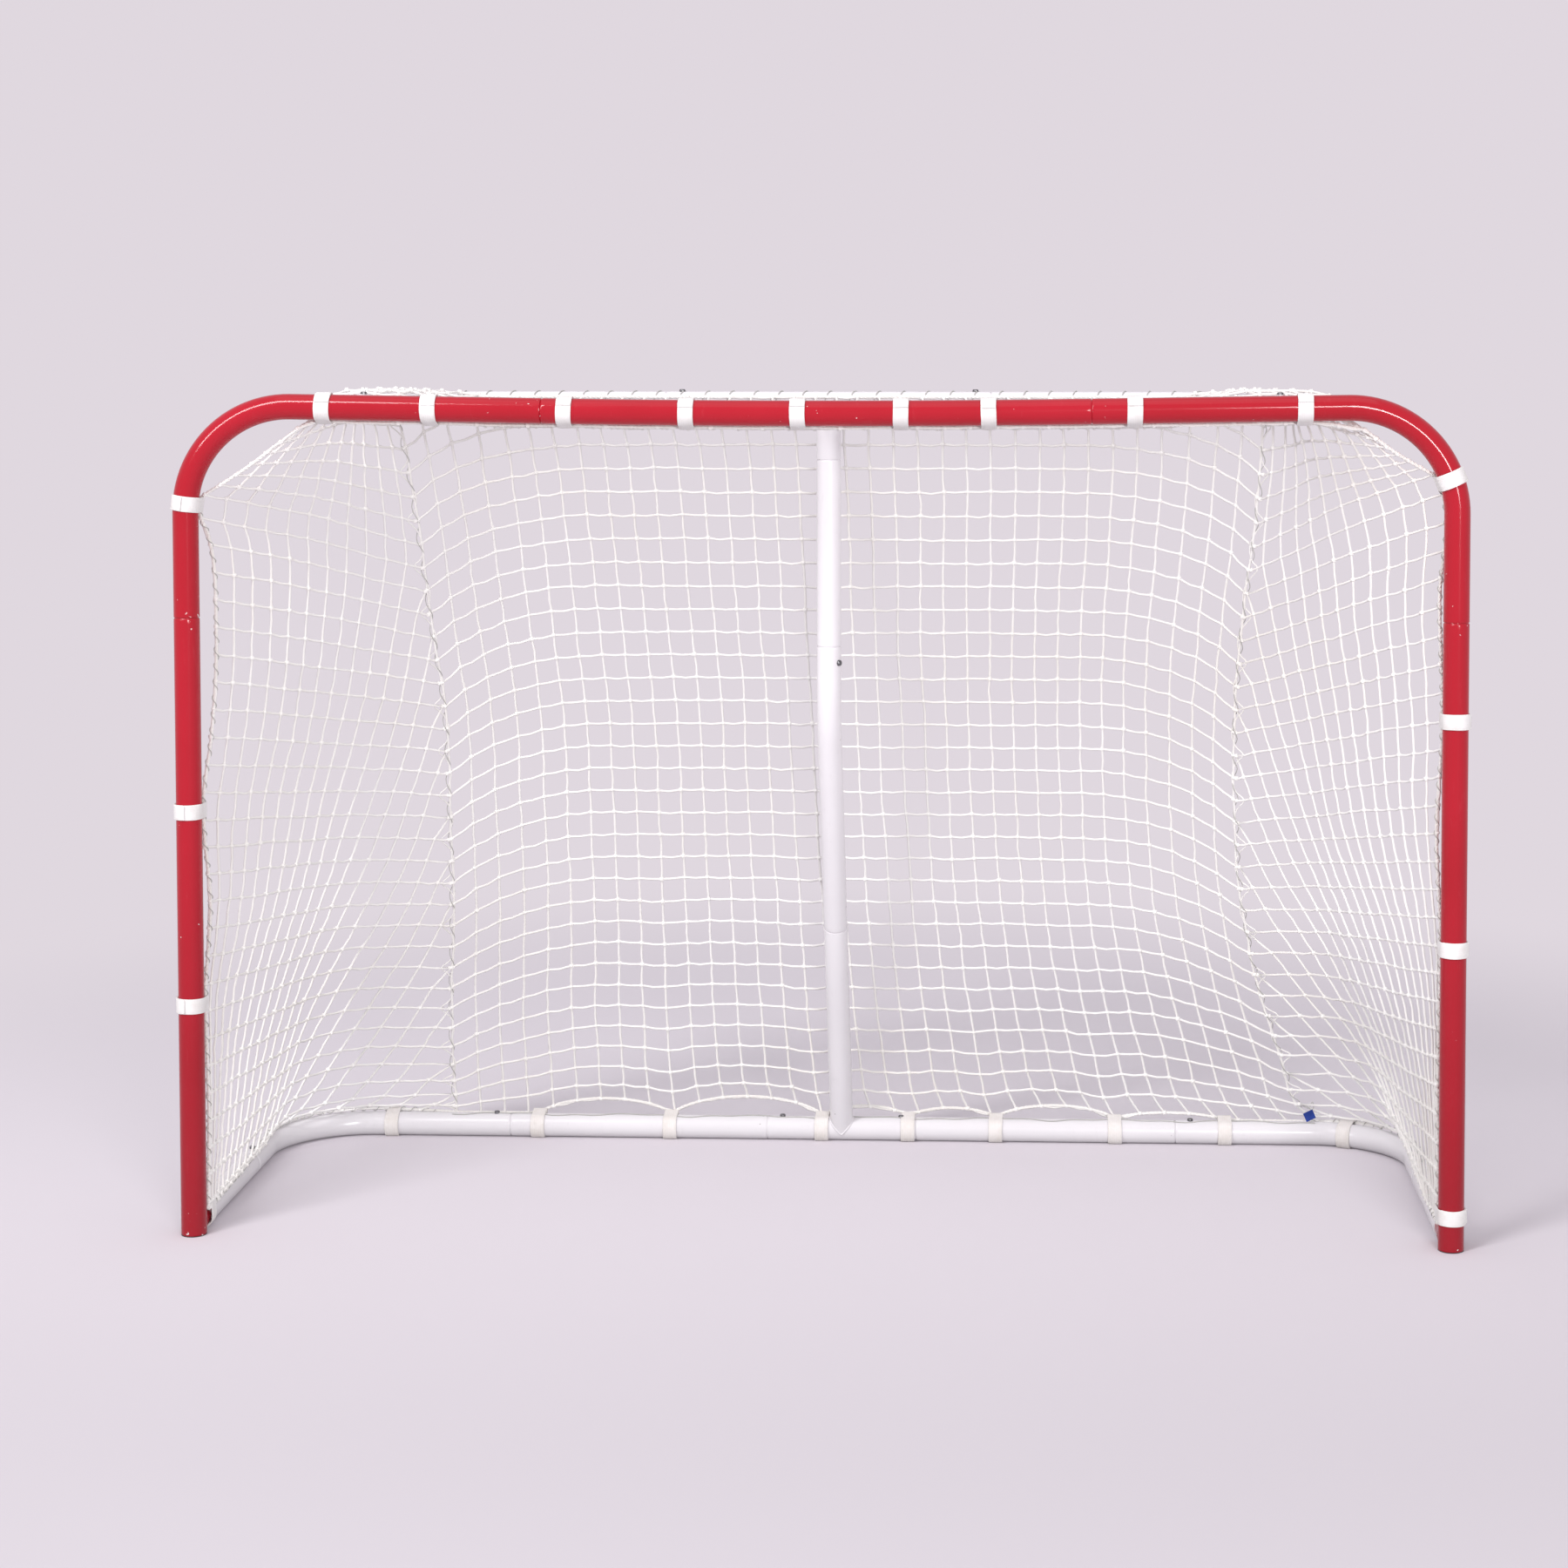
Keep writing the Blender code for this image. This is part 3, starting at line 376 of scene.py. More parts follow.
def tubeSections(stations, maleStart, maleEnd):
    # (place, direction, outer radius, inner radius, wear) from one end to the other
    radius, wall, slim = tube["radius"], tube["wall"], tube["spigot"]
    length = [0.0]
    for (p, _), (q, _) in zip(stations, stations[1:]):
        length.append(length[-1] + (q - p).length)
    total = length[-1]
    sections = []
    for (p, d), at in zip(stations, length):
        near = min(at, total - at)
        if near < tube["shapedEnd"]:
            continue
        sections.append([p, d, radius, radius - wall, exp(-near / tube["wearFade"])])
    shoulder = [(-tube["swage"], slim - 0.0008), (-tube["swage"] + 0.0010, slim), (-0.0010, slim),
                (0.0004, slim + 0.0001), (0.0011, mix(slim, radius, 0.22)), (0.0018, mix(slim, radius, 0.62)),
                (0.0025, mix(slim, radius, 0.92)), (tube["neck"] + 0.0003, radius), (0.010, radius)]
    lip = [(0.0, radius - 0.0006), (0.00018, radius - 0.0002), (0.0006, radius), (0.0035, radius), (0.010, radius)]
    for male, (p, d), sign in ((maleStart, stations[0], 1), (maleEnd, stations[-1], -1)):
        ends = []
        for offset, outer in shoulder if male else lip:
            worn = 1.0 if 0 <= offset < 0.005 else 0.55
            ends.append([p + d * offset * sign, d, outer, outer - wall, worn])
        if sign == 1:
            sections[:0] = ends
        else:
            sections += reversed(ends)
    return sections


def tubeMesh(sections, side):
    # outside and inside of a tube as one closed skin
    sides = tube["sides"]
    rings = [(p, d, outer) for p, d, outer, _, _ in sections]
    rings += [(p, d, inner) for p, d, _, inner, _ in reversed(sections)]
    wear = [s[4] for s in sections] + [s[4] * 0.3 for s in reversed(sections)]
    points = sweptRings(rings, side, sides)
    faces = ringFaces(len(rings), sides, True)
    return points, faces, [w for w in wear for _ in range(sides)]


def joinParts(name, meshes):
    points, faces, wear = [], [], []
    for mesh in meshes:
        start = len(points)
        points += [v.co.copy() for v in mesh.vertices]
        faces += [tuple(start + i for i in face.vertices) for face in mesh.polygons]
        wear += [d.value for d in mesh.attributes["wear"].data]
    return meshOf(name, points, faces, wear)


def saddleOn(host, hostRadius):
    # how far a stub's first ring has to move along the stub to lie on its host tube
    def lift(offset, radius):
        across = offset - host * offset.dot(host)
        return sqrt(max(0.0, hostRadius**2 - (radius * across.length) ** 2))
    return lift


def stubPart(root, direction, host, length, radius, side, openEnd):
    # a stub or stem welded on a tube, standing on the tube's skin
    wall, tip = tube["wall"], root + direction * length
    footing, lip = 0.028, ((0.0012, 0.0), (0.0003, 0.0002), (0.0, 0.0007))
    sections = [(root, radius), (root + direction * footing, radius)]
    if length > 0.09:
        sections += [(root + direction * (footing + (length - 0.04) * k / 4), radius) for k in (1, 2, 3)]
    sections += [(tip - direction * back, radius - less) for back, less in lip]
    rings = [(p, direction, r) for p, r in sections]
    count = len(rings)
    rings += [(p, direction, r - wall) for p, r in reversed(sections)]
    lift = saddleOn(host, tube["radius"] - 0.0004)
    points = sweptRings(rings, side, tube["sides"], {0: lift, 2 * count - 1: lift})
    worn = [0.25] + [0.1] * (count - 3) + [0.8, 1.0]
    wear = worn + [w * 0.3 for w in reversed(worn)]
    return points, ringFaces(len(rings), tube["sides"], True), [w for w in wear for _ in range(tube["sides"])]


# where two tubes part: the seam, the way into the female tube, the way its button faces

def mirrored(vector):
    return Vector((-vector.x, vector.y, vector.z))


leanUp = Vector((0, -sin(goal["lean"]), cos(goal["lean"])))
stemTop = Vector((0, goal["backY"], goal["floorZ"])) + leanUp * ((goal["stemZ"] - goal["floorZ"]) / leanUp.z)


def allSeams():
    g = goal
    droop = Vector((cos(g["droop"]), 0, sin(g["droop"])))
    right = {
        "post": (Vector((g["postX"], g["frontY"], g["postJointZ"])), zAxis, yAxis),
        "crossbar": (Vector((g["crossbarJoint"], g["frontY"], g["crossbarZ"])), droop, yAxis),
        "foot": (Vector((g["postX"], g["frontY"] + g["collar"], g["floorZ"])), yAxis, zAxis),
        "leg": (Vector((g["postX"], g["frontY"] + g["legJoint"], g["floorZ"])), yAxis, zAxis),
        "base_corner": (Vector((g["baseJoint"], g["backY"], g["floorZ"])), xAxis, zAxis),
        "base_tee": (Vector((g["baseTee"], g["backY"], g["floorZ"])), -xAxis, zAxis),
        "arm": (Vector((g["armX"], g["frontY"] + g["collar"], g["topZ"])), yAxis, zAxis),
        "top_tee": (Vector((g["topTee"], g["topBackY"], g["topZ"])), -xAxis, zAxis),
    }
    seams = {}
    for name, seam in right.items():
        seams[f"left_{name}"] = tuple(mirrored(v) for v in seam)
        seams[f"right_{name}"] = seam
    seams["stem"] = (stemTop, -leanUp, leanUp.cross(xAxis))
    turned = Vector((sin(g["backButtonTurn"]), -cos(g["backButtonTurn"]), 0))
    seams["back_post"] = (Vector((0, g["topBackY"], g["backPostJointZ"])), -zAxis, turned)
    seams["top_stem"] = (Vector((0, g["topBackY"], g["topZ"] - g["topStem"])), zAxis, yAxis)
    return seams


seams = allSeams()


def buttonTurn(seam):
    place, inward, outward = seam
    across = outward.cross(-inward).normalized()
    middle = place + inward * goal["buttonInset"] + outward * tube["radius"]
    return Matrix.Translation(middle) @ Matrix((-inward, across, outward)).transposed().to_4x4()


hole = {"radius": 0.0049, "depth": 0.019, "sides": 28}


def drilled(mesh, names):
    # holes for the buttons, cut through one side of the tube
    cutter = bmesh.new()
    for name in names:
        spot = bmesh.ops.create_cone(cutter, cap_ends=True, segments=hole["sides"], radius1=hole["radius"],
                                     radius2=hole["radius"], depth=hole["depth"])
        bmesh.ops.transform(cutter, matrix=buttonTurn(seams[name]), verts=spot["verts"])
    cutMesh = bpy.data.meshes.new("cutter")
    cutter.to_mesh(cutMesh)
    cutter.free()
    holder = bpy.data.objects.new("holder", mesh)
    blades = bpy.data.objects.new("blades", cutMesh)
    for thing in (holder, blades):
        bpy.context.scene.collection.objects.link(thing)
    cut = holder.modifiers.new("Holes", "BOOLEAN")
    cut.operation, cut.solver, cut.object = "DIFFERENCE", "EXACT", blades
    made = evaluated(holder)
    bpy.data.objects.remove(holder)
    bpy.data.objects.remove(blades)
    made.name = mesh.name
    return made


def evaluated(thing):
    bpy.context.view_layer.update()
    seen = thing.evaluated_get(bpy.context.evaluated_depsgraph_get())
    return bpy.data.meshes.new_from_object(seen)


def makeTube(name, node, parts, holes, material, slot):
    # each part is drilled by itself, since a Boolean loses parts that overlap
    mesh = joinParts(name, [drilled(meshOf(name, *part), holes) for part in parts])
    smoothMesh(mesh, 32)
    return placeObject(name, mesh, material, slot=slot, replaces=[node])


def frontFrame():
    g = goal
    for side, sign in bothSides:
        foot = Vector((sign * g["postX"], g["frontY"], g["postBottom"]))
        joint = Vector((sign * g["postX"], g["frontY"], g["postJointZ"]))
        post = tubeMesh(tubeSections(filled([(foot, zAxis), (joint, zAxis)]), False, True), yAxis)
        heel = Vector((sign * g["postX"], g["frontY"], g["floorZ"]))
        reach = g["collar"] + tube["swage"]
        stub = stubPart(heel, yAxis, zAxis, reach, tube["spigot"], zAxis, True)
        makeTube(f"{side}Post", f"{side}_post", [post, stub], [f"{side}_post", f"{side}_foot"], redPaint, "red_paint")
        corner = Vector((sign * g["postX"], g["frontY"], g["cornerZ"]))
        bar = Vector((sign * g["crossbarJoint"], g["frontY"], g["crossbarZ"]))
        bend = filled(rounded([joint, corner, bar], g["bend"]))
        bend = tubeMesh(tubeSections(bend, False, False), yAxis)
        shoulder = Vector((sign * g["armX"], g["frontY"], g["topZ"]))
        stub = stubPart(shoulder, yAxis, xAxis, reach, tube["spigot"], zAxis, True)
        makeTube(f"{side}TopCorner", f"{side}_top_corner", [bend, stub],
                 [f"{side}_post", f"{side}_crossbar", f"{side}_arm"], redPaint, "red_paint")
    middle = tubeMesh(tubeSections(crossbarArc(24), True, True), yAxis)
    makeTube("crossbarMiddle", "crossbar_middle", [middle], ["left_crossbar", "right_crossbar"], redPaint, "red_paint")


def crossbarArc(steps):
    radius = goal["crossbarJoint"] / sin(goal["droop"])
    centre = Vector((0, goal["frontY"], goal["crossbarZ"] + radius * cos(goal["droop"])))
    stations = []
    for i in range(steps + 1):
        angle = goal["droop"] * (2 * i / steps - 1)
        stations.append((centre + radius * Vector((sin(angle), 0, -cos(angle))), Vector((cos(angle), 0, sin(angle)))))
    return stations


def baseFrame():
    g = goal
    for side, sign in bothSides:
        x = sign * g["postX"]
        collar = Vector((x, g["frontY"] + g["collar"], g["floorZ"]))
        joint = Vector((x, g["frontY"] + g["legJoint"], g["floorZ"]))
        leg = tubeMesh(tubeSections(filled([(collar, yAxis), (joint, yAxis)]), False, True), zAxis)
        makeTube(f"{side}Leg", f"{side}_leg", [leg], [f"{side}_foot", f"{side}_leg"], whitePaint, "white_paint")
        corner = Vector((x, g["backY"], g["floorZ"]))
        bar = Vector((sign * g["baseJoint"], g["backY"], g["floorZ"]))
        bend = tubeMesh(tubeSections(filled(rounded([joint, corner, bar], g["bend"])), False, False), zAxis)
        makeTube(f"{side}BaseCorner", f"{side}_base_corner", [bend], [f"{side}_leg", f"{side}_base_corner"],
                 whitePaint, "white_paint")
        teeEnd = Vector((sign * g["baseTee"], g["backY"], g["floorZ"]))
        run = filled([(bar, -xAxis * sign), (teeEnd, -xAxis * sign)])
        bar = tubeMesh(tubeSections(run, True, True), zAxis)
        makeTube(f"{side}BaseTube", f"{side}_base_tube", [bar], [f"{side}_base_corner", f"{side}_base_tee"],
                 whitePaint, "white_paint")
    root = Vector((0, g["backY"], g["floorZ"]))
    makeTee("baseTee", "base_tee", g["baseTee"], root, stemTop, ["left_base_tee", "right_base_tee", "stem"])


def makeTee(name, node, half, root, tip, holes):
    run = filled([(root - xAxis * half, xAxis), (root + xAxis * half, xAxis)], 0.02)
    cross = tubeMesh(tubeSections(run, False, False), zAxis)
    length = (tip - root).length
    stem = stubPart(root, (tip - root) / length, xAxis, length, tube["radius"], xAxis, True)
    makeTube(name, node, [cross, stem], holes, whitePaint, "white_paint")


def topFrame():
    g = goal
    root = Vector((0, g["topBackY"], g["topZ"]))
    makeTee("topTee", "top_tee", g["topTee"], root, root - zAxis * g["topStem"],
            ["left_top_tee", "right_top_tee", "top_stem"])
    for side, sign in bothSides:
        x = sign * g["armX"]
        runs = [(x, g["frontY"] + g["collar"], g["topZ"]), (x, g["topBackY"], g["topZ"]),
                (sign * g["topTee"], g["topBackY"], g["topZ"])]
        bend = tubeMesh(tubeSections(filled(rounded(runs, g["bend"])), False, True), zAxis)
        makeTube(f"{side}TopFrameCorner", f"{side}_top_frame_corner", [bend], [f"{side}_arm", f"{side}_top_tee"],
                 whitePaint, "white_paint")


def backPost():
    g = goal
    joint = Vector((0, g["topBackY"], g["backPostJointZ"]))
    runs = filled(rounded([stemTop, Vector((0, g["topBackY"], g["kneeZ"])), joint], g["kneeBend"], 12))
    lower = tubeMesh(tubeSections(runs, True, False), xAxis)
    makeTube("backPostLower", "back_post_lower", [lower], ["stem", "back_post"], whitePaint, "white_paint")
    top = Vector((0, g["topBackY"], g["topZ"] - g["topStem"]))
    upper = tubeMesh(tubeSections(filled([(joint, zAxis), (top, zAxis)]), True, True), xAxis)
    makeTube("backPostUpper", "back_post_upper", [upper], ["back_post", "top_stem"], whitePaint, "white_paint")


frontFrame()
baseFrame()
topFrame()
backPost()
print("tubes swept and drilled")


# snap buttons: a domed pin on a flange, and the arm of the spring that carries it

button = {
    "radius": 0.0046,
    "proud": 0.0035,
    "round": 0.0017,
    "seat": -0.0045,
    "flange": 0.0060,
    "flangeDepth": 0.0012,
    "springLength": 0.040,
    "springWidth": 0.008,
    "springDrop": 0.009,
    "springGauge": 0.0006,
    "sides": 28,
}


def buttonMesh():
    b = button
    profile = [(0.0, b["proud"])]
    for i in range(7):
        angle = pi / 2 * (1 - i / 6)
        profile.append((b["radius"] - b["round"] * (1 - cos(angle)), b["proud"] - b["round"] * (1 - sin(angle))))
    low = b["seat"] - b["flangeDepth"]
    profile += [(b["radius"], b["seat"] + 0.0004), (b["radius"] + 0.0004, b["seat"]),
                (b["flange"] - 0.0003, b["seat"]), (b["flange"], b["seat"] - 0.0003),
                (b["flange"], low + 0.0003), (b["flange"] - 0.0003, low), (0.0, low)]
    shape = bmesh.new()
    ring = [shape.verts.new((r, 0, z)) for r, z in profile]
    edges = [shape.edges.new(pair) for pair in zip(ring, ring[1:])]
    bmesh.ops.spin(shape, geom=ring + edges, cent=(0, 0, 0), axis=(0, 0, 1), angle=2 * pi, steps=b["sides"])
    bmesh.ops.remove_doubles(shape, verts=shape.verts, dist=1e-6)
    # the spring's arm leaves the flange, slopes away and curls under at its end
    path = []
    for i in range(9):
        share = i / 8
        path.append((b["springLength"] * share, b["seat"] - 0.0006 - b["springDrop"] * share**1.15))
    last = path[-1]
    path += [(last[0] + 0.0022 * sin(a), last[1] - 0.0022 * (1 - cos(a))) for a in (0.6, 1.2, 1.8, 2.4)]
    half, gauge = b["springWidth"] / 2, b["springGauge"]
    strips = []
    for x, z in path:
        narrow = half * (1 - 0.25 * smoothStep(x, 0.006, 0.0))
        strips.append([shape.verts.new(v) for v in (
            (x, -narrow, z), (x, narrow, z), (x, narrow, z - gauge), (x, -narrow, z - gauge))])
    for a, b2 in zip(strips, strips[1:]):
        for i in range(4):
            j = (i + 1) % 4
            shape.faces.new((a[i], a[j], b2[j], b2[i]))
    shape.faces.new(strips[0])
    shape.faces.new(reversed(strips[-1]))
    bmesh.ops.recalc_face_normals(shape, faces=shape.faces)
    mesh = bpy.data.meshes.new("button")
    shape.to_mesh(mesh)
    shape.free()
    smoothMesh(mesh, 40)
    return mesh


def makeButtons():
    model = buttonMesh()
    for name, seam in seams.items():
        words = name.split("_")
        mesh = model.copy()
        mesh.transform(buttonTurn(seam))
        title = words[0] + "".join(w.title() for w in words[1:]) + "Button"
        placeObject(title, mesh, springSteel, f"{name}_button", "button_steel", [f"{name}_button"])


makeButtons()
print("snap buttons made,", len(seams))


# foot plugs

footPlug = {"flange": 0.0010, "length": 0.018, "wall": 0.003, "sides": 48}


def makeFootPlugs():
    radius, slim, p = tube["radius"], tube["spigot"], footPlug
    profile = [(radius - 0.0004, 0), (radius, 0.0003), (radius, p["flange"] - 0.0002), (radius - 0.0002, p["flange"]),
               (slim, p["flange"]), (slim, p["length"] - 0.0006), (slim - 0.0006, p["length"]),
               (slim - p["wall"], p["length"]), (slim - p["wall"], p["flange"] + p["wall"])]
    for side, sign in bothSides:
        foot = Vector((sign * goal["postX"], goal["frontY"], 0))
        points = sweptRings([(foot + zAxis * z, zAxis, r) for r, z in profile], yAxis, p["sides"])
        faces = ringFaces(len(profile), p["sides"], False)
        faces += [tuple(range(p["sides"])), tuple(range(len(points) - p["sides"], len(points)))]
        mesh = meshOf("plug", points, faces)
        smoothMesh(mesh)
        placeObject(f"{side}FootPlug", mesh, footPlastic, slot="foot_plastic", replaces=[f"{side}_foot_plug"])


makeFootPlugs()
print("foot plugs made")


# geometry node trees

def newGroup(name, inputs):
    tree = bpy.data.node_groups.new(name, "GeometryNodeTree")
    face = tree.interface
    face.new_socket("Geometry", in_out="INPUT", socket_type="NodeSocketGeometry")
    kinds = {float: "NodeSocketFloat", int: "NodeSocketInt"}
    for label, value in inputs.items():
        kind = "NodeSocketMaterial" if value is None else kinds[type(value)]
        socket = face.new_socket(label, in_out="INPUT", socket_type=kind)
        if value is not None:
            socket.default_value = value
    face.new_socket("Geometry", in_out="OUTPUT", socket_type="NodeSocketGeometry")
    return tree, addNode(tree, "NodeGroupInput").outputs


def endGroup(tree, inputs, geometry):
    real = addNode(tree, "GeometryNodeRealizeInstances", {"Geometry": geometry})
    dressed = addNode(tree, "GeometryNodeSetMaterial", {
        "Geometry": real.outputs[0], "Material": inputs["Material"],
    })
    addNode(tree, "NodeGroupOutput", {"Geometry": dressed.outputs[0]})
    return tree


def named(tree, name, kind="FLOAT_VECTOR"):
    return addNode(tree, "GeometryNodeInputNamedAttribute", {"Name": name}, data_type=kind).outputs[0]


def scaled(tree, vector, size):
    return addNode(tree, "ShaderNodeVectorMath", {0: vector, "Scale": size}, operation="SCALE").outputs[0]


def grown(name, mesh, tree, values):
    # runs a tree over a mesh and gives back the plain mesh that it makes
    seed = bpy.data.objects.new(name, mesh)
    bpy.context.scene.collection.objects.link(seed)
    modifier = seed.modifiers.new(tree.name, "NODES")
    modifier.node_group = tree
    ids = {s.name: s.identifier for s in tree.interface.items_tree if s.in_out == "INPUT"}
    for label, value in values.items():
        modifier[ids[label]] = value
    made = evaluated(seed)
    seed.modifiers.clear()
    bpy.data.objects.remove(seed)
    made.name = name
    return made


def roundCord(tree, curve, radius, sides):
    # a round skin on a curve, with metres along it and turns round it as its map
    along = addNode(tree, "GeometryNodeSplineParameter").outputs["Length"]
    keepAlong = addNode(tree, "GeometryNodeCaptureAttribute", domain="POINT")
    keepAlong.capture_items.new("FLOAT", "Along")
    tree.links.new(curve, keepAlong.inputs["Geometry"])
    tree.links.new(along, keepAlong.inputs["Along"])
    circle = addNode(tree, "GeometryNodeCurveArc", {
        "Resolution": maths(tree, "ADD", sides, 1.0), "Radius": radius, "Start Angle": 0.0, "Sweep Angle": 2 * pi,
    })
    around = addNode(tree, "GeometryNodeSplineParameter").outputs["Factor"]
    keepAround = addNode(tree, "GeometryNodeCaptureAttribute", domain="POINT")
    keepAround.capture_items.new("FLOAT", "Around")
    tree.links.new(circle.outputs["Curve"], keepAround.inputs["Geometry"])
    tree.links.new(around, keepAround.inputs["Around"])
    skin = addNode(tree, "GeometryNodeCurveToMesh", {
        "Curve": keepAlong.outputs["Geometry"], "Profile Curve": keepAround.outputs["Geometry"],
    })
    both = addNode(tree, "ShaderNodeCombineXYZ", {
        0: keepAlong.outputs["Along"], 1: keepAround.outputs["Around"],
    })
    mapped = addNode(tree, "GeometryNodeStoreNamedAttribute", {
        "Geometry": skin.outputs[0], "Name": "lay", "Value": both.outputs[0],
    }, data_type="FLOAT2", domain="CORNER")
    welded = addNode(tree, "GeometryNodeMergeByDistance", {"Geometry": mapped.outputs[0], "Distance": 0.00002})
    return addNode(tree, "GeometryNodeSetShadeSmooth", {"Geometry": welded.outputs[0]}).outputs[0]


def knottedNetTree():
    tree, given = newGroup("knottedNet", {
        "Cord Radius": 0.0013, "Cord Sides": 5, "Knot Size": 1.0, "Seed": 7, "Material": None,
    })
    lines = addNode(tree, "GeometryNodeMeshToCurve", {"Mesh": given["Geometry"]})
    cords = roundCord(tree, lines.outputs[0], given["Cord Radius"], given["Cord Sides"])
    # a knot is two tight wraps that cross over a small core
    ring, yarn = (addNode(tree, "GeometryNodeCurvePrimitiveCircle", {
        "Resolution": sides, "Radius": maths(tree, "MULTIPLY", given["Cord Radius"], size),
    }) for sides, size in ((6, 1.30), (4, 0.86)))
    wrap = addNode(tree, "GeometryNodeCurveToMesh", {
        "Curve": ring.outputs["Curve"], "Profile Curve": yarn.outputs["Curve"],
    }).outputs[0]
    first = addNode(tree, "GeometryNodeTransform", {"Geometry": wrap, "Rotation": (pi / 2, 0, radians(38))})
    second = addNode(tree, "GeometryNodeTransform", {"Geometry": wrap, "Rotation": (pi / 2, 0, radians(-47))})
    core = addNode(tree, "GeometryNodeMeshIcoSphere", {
        "Subdivisions": 1, "Radius": maths(tree, "MULTIPLY", given["Cord Radius"], 1.75),
    })
    knot = addNode(tree, "GeometryNodeJoinGeometry")
    for part in (first.outputs[0], second.outputs[0], core.outputs["Mesh"]):
        tree.links.new(part, knot.inputs[0])
    knotSmooth = addNode(tree, "GeometryNodeSetShadeSmooth", {"Geometry": knot.outputs[0]})
    stand = addNode(tree, "FunctionNodeAlignRotationToVector", {"Vector": named(tree, "facing")}, axis="Z")
    turn = addNode(tree, "FunctionNodeAlignRotationToVector", {
        "Rotation": stand.outputs[0], "Vector": named(tree, "along"),
    }, axis="X", pivot_axis="Z")
    wobble = addNode(tree, "FunctionNodeRandomValue", {2: -0.4, 3: 0.4, "Seed": given["Seed"]}, data_type="FLOAT")
    spin = addNode(tree, "FunctionNodeAxisAngleToRotation", {"Axis": (0, 0, 1), "Angle": wobble.outputs[1]})
    turned = addNode(tree, "FunctionNodeRotateRotation", {
        "Rotation": turn.outputs[0], "Rotate By": spin.outputs[0],
    }, rotation_space="LOCAL")
    sized = addNode(tree, "FunctionNodeRandomValue", {2: 0.88, 3: 1.16, "Seed": given["Seed"]}, data_type="FLOAT")
    size = maths(tree, "MULTIPLY", sized.outputs[1], given["Knot Size"])
    chosen = addNode(tree, "FunctionNodeCompare", {
        0: named(tree, "knot", "FLOAT"), 1: 0.5,
    }, data_type="FLOAT", operation="GREATER_THAN")
    knots = addNode(tree, "GeometryNodeInstanceOnPoints", {
        "Points": given["Geometry"], "Selection": chosen.outputs[0], "Instance": knotSmooth.outputs[0],
        "Rotation": turned.outputs[0], "Scale": size,
    })
    both = addNode(tree, "GeometryNodeJoinGeometry")
    tree.links.new(cords, both.inputs[0])
    tree.links.new(knots.outputs[0], both.inputs[0])
    return endGroup(tree, given, both.outputs[0])


def laidRopeTree():
    # three strands wound round a path
    tree, given = newGroup("laidRope", {
        "Strand Radius": 0.0016, "Strand Offset": 0.0016, "Lay Length": 0.022, "Step": 0.004, "Strands": 3,
        "Strand Sides": 6, "Material": None,
    })
    path = addNode(tree, "GeometryNodeMeshToCurve", {"Mesh": given["Geometry"]})
    fine = addNode(tree, "GeometryNodeResampleCurve", {
        "Curve": path.outputs[0], "Length": given["Step"],
    }, mode="LENGTH")
    copies = addNode(tree, "GeometryNodeDuplicateElements", {
        "Geometry": fine.outputs[0], "Amount": given["Strands"],
    }, domain="SPLINE")
    along = addNode(tree, "GeometryNodeSplineParameter").outputs["Length"]
    turns = maths(tree, "DIVIDE", along, given["Lay Length"])
    index = maths(tree, "DIVIDE", copies.outputs["Duplicate Index"], given["Strands"])
    angle = maths(tree, "MULTIPLY", maths(tree, "ADD", turns, index), 2 * pi)
    normal = addNode(tree, "GeometryNodeInputNormal").outputs[0]
    tangent = addNode(tree, "GeometryNodeInputTangent").outputs[0]
    across = addNode(tree, "ShaderNodeVectorMath", {0: tangent, 1: normal}, operation="CROSS_PRODUCT").outputs[0]
    outA, outB = scaled(tree, normal, maths(tree, "COSINE", angle)), scaled(tree, across, maths(tree, "SINE", angle))
    out = addNode(tree, "ShaderNodeVectorMath", {0: outA, 1: outB}, operation="ADD").outputs[0]
    wound = addNode(tree, "GeometryNodeSetPosition", {
        "Geometry": copies.outputs[0], "Offset": scaled(tree, out, given["Strand Offset"]),
    })
    skin = roundCord(tree, wound.outputs[0], given["Strand Radius"], given["Strand Sides"])
    return endGroup(tree, given, skin)


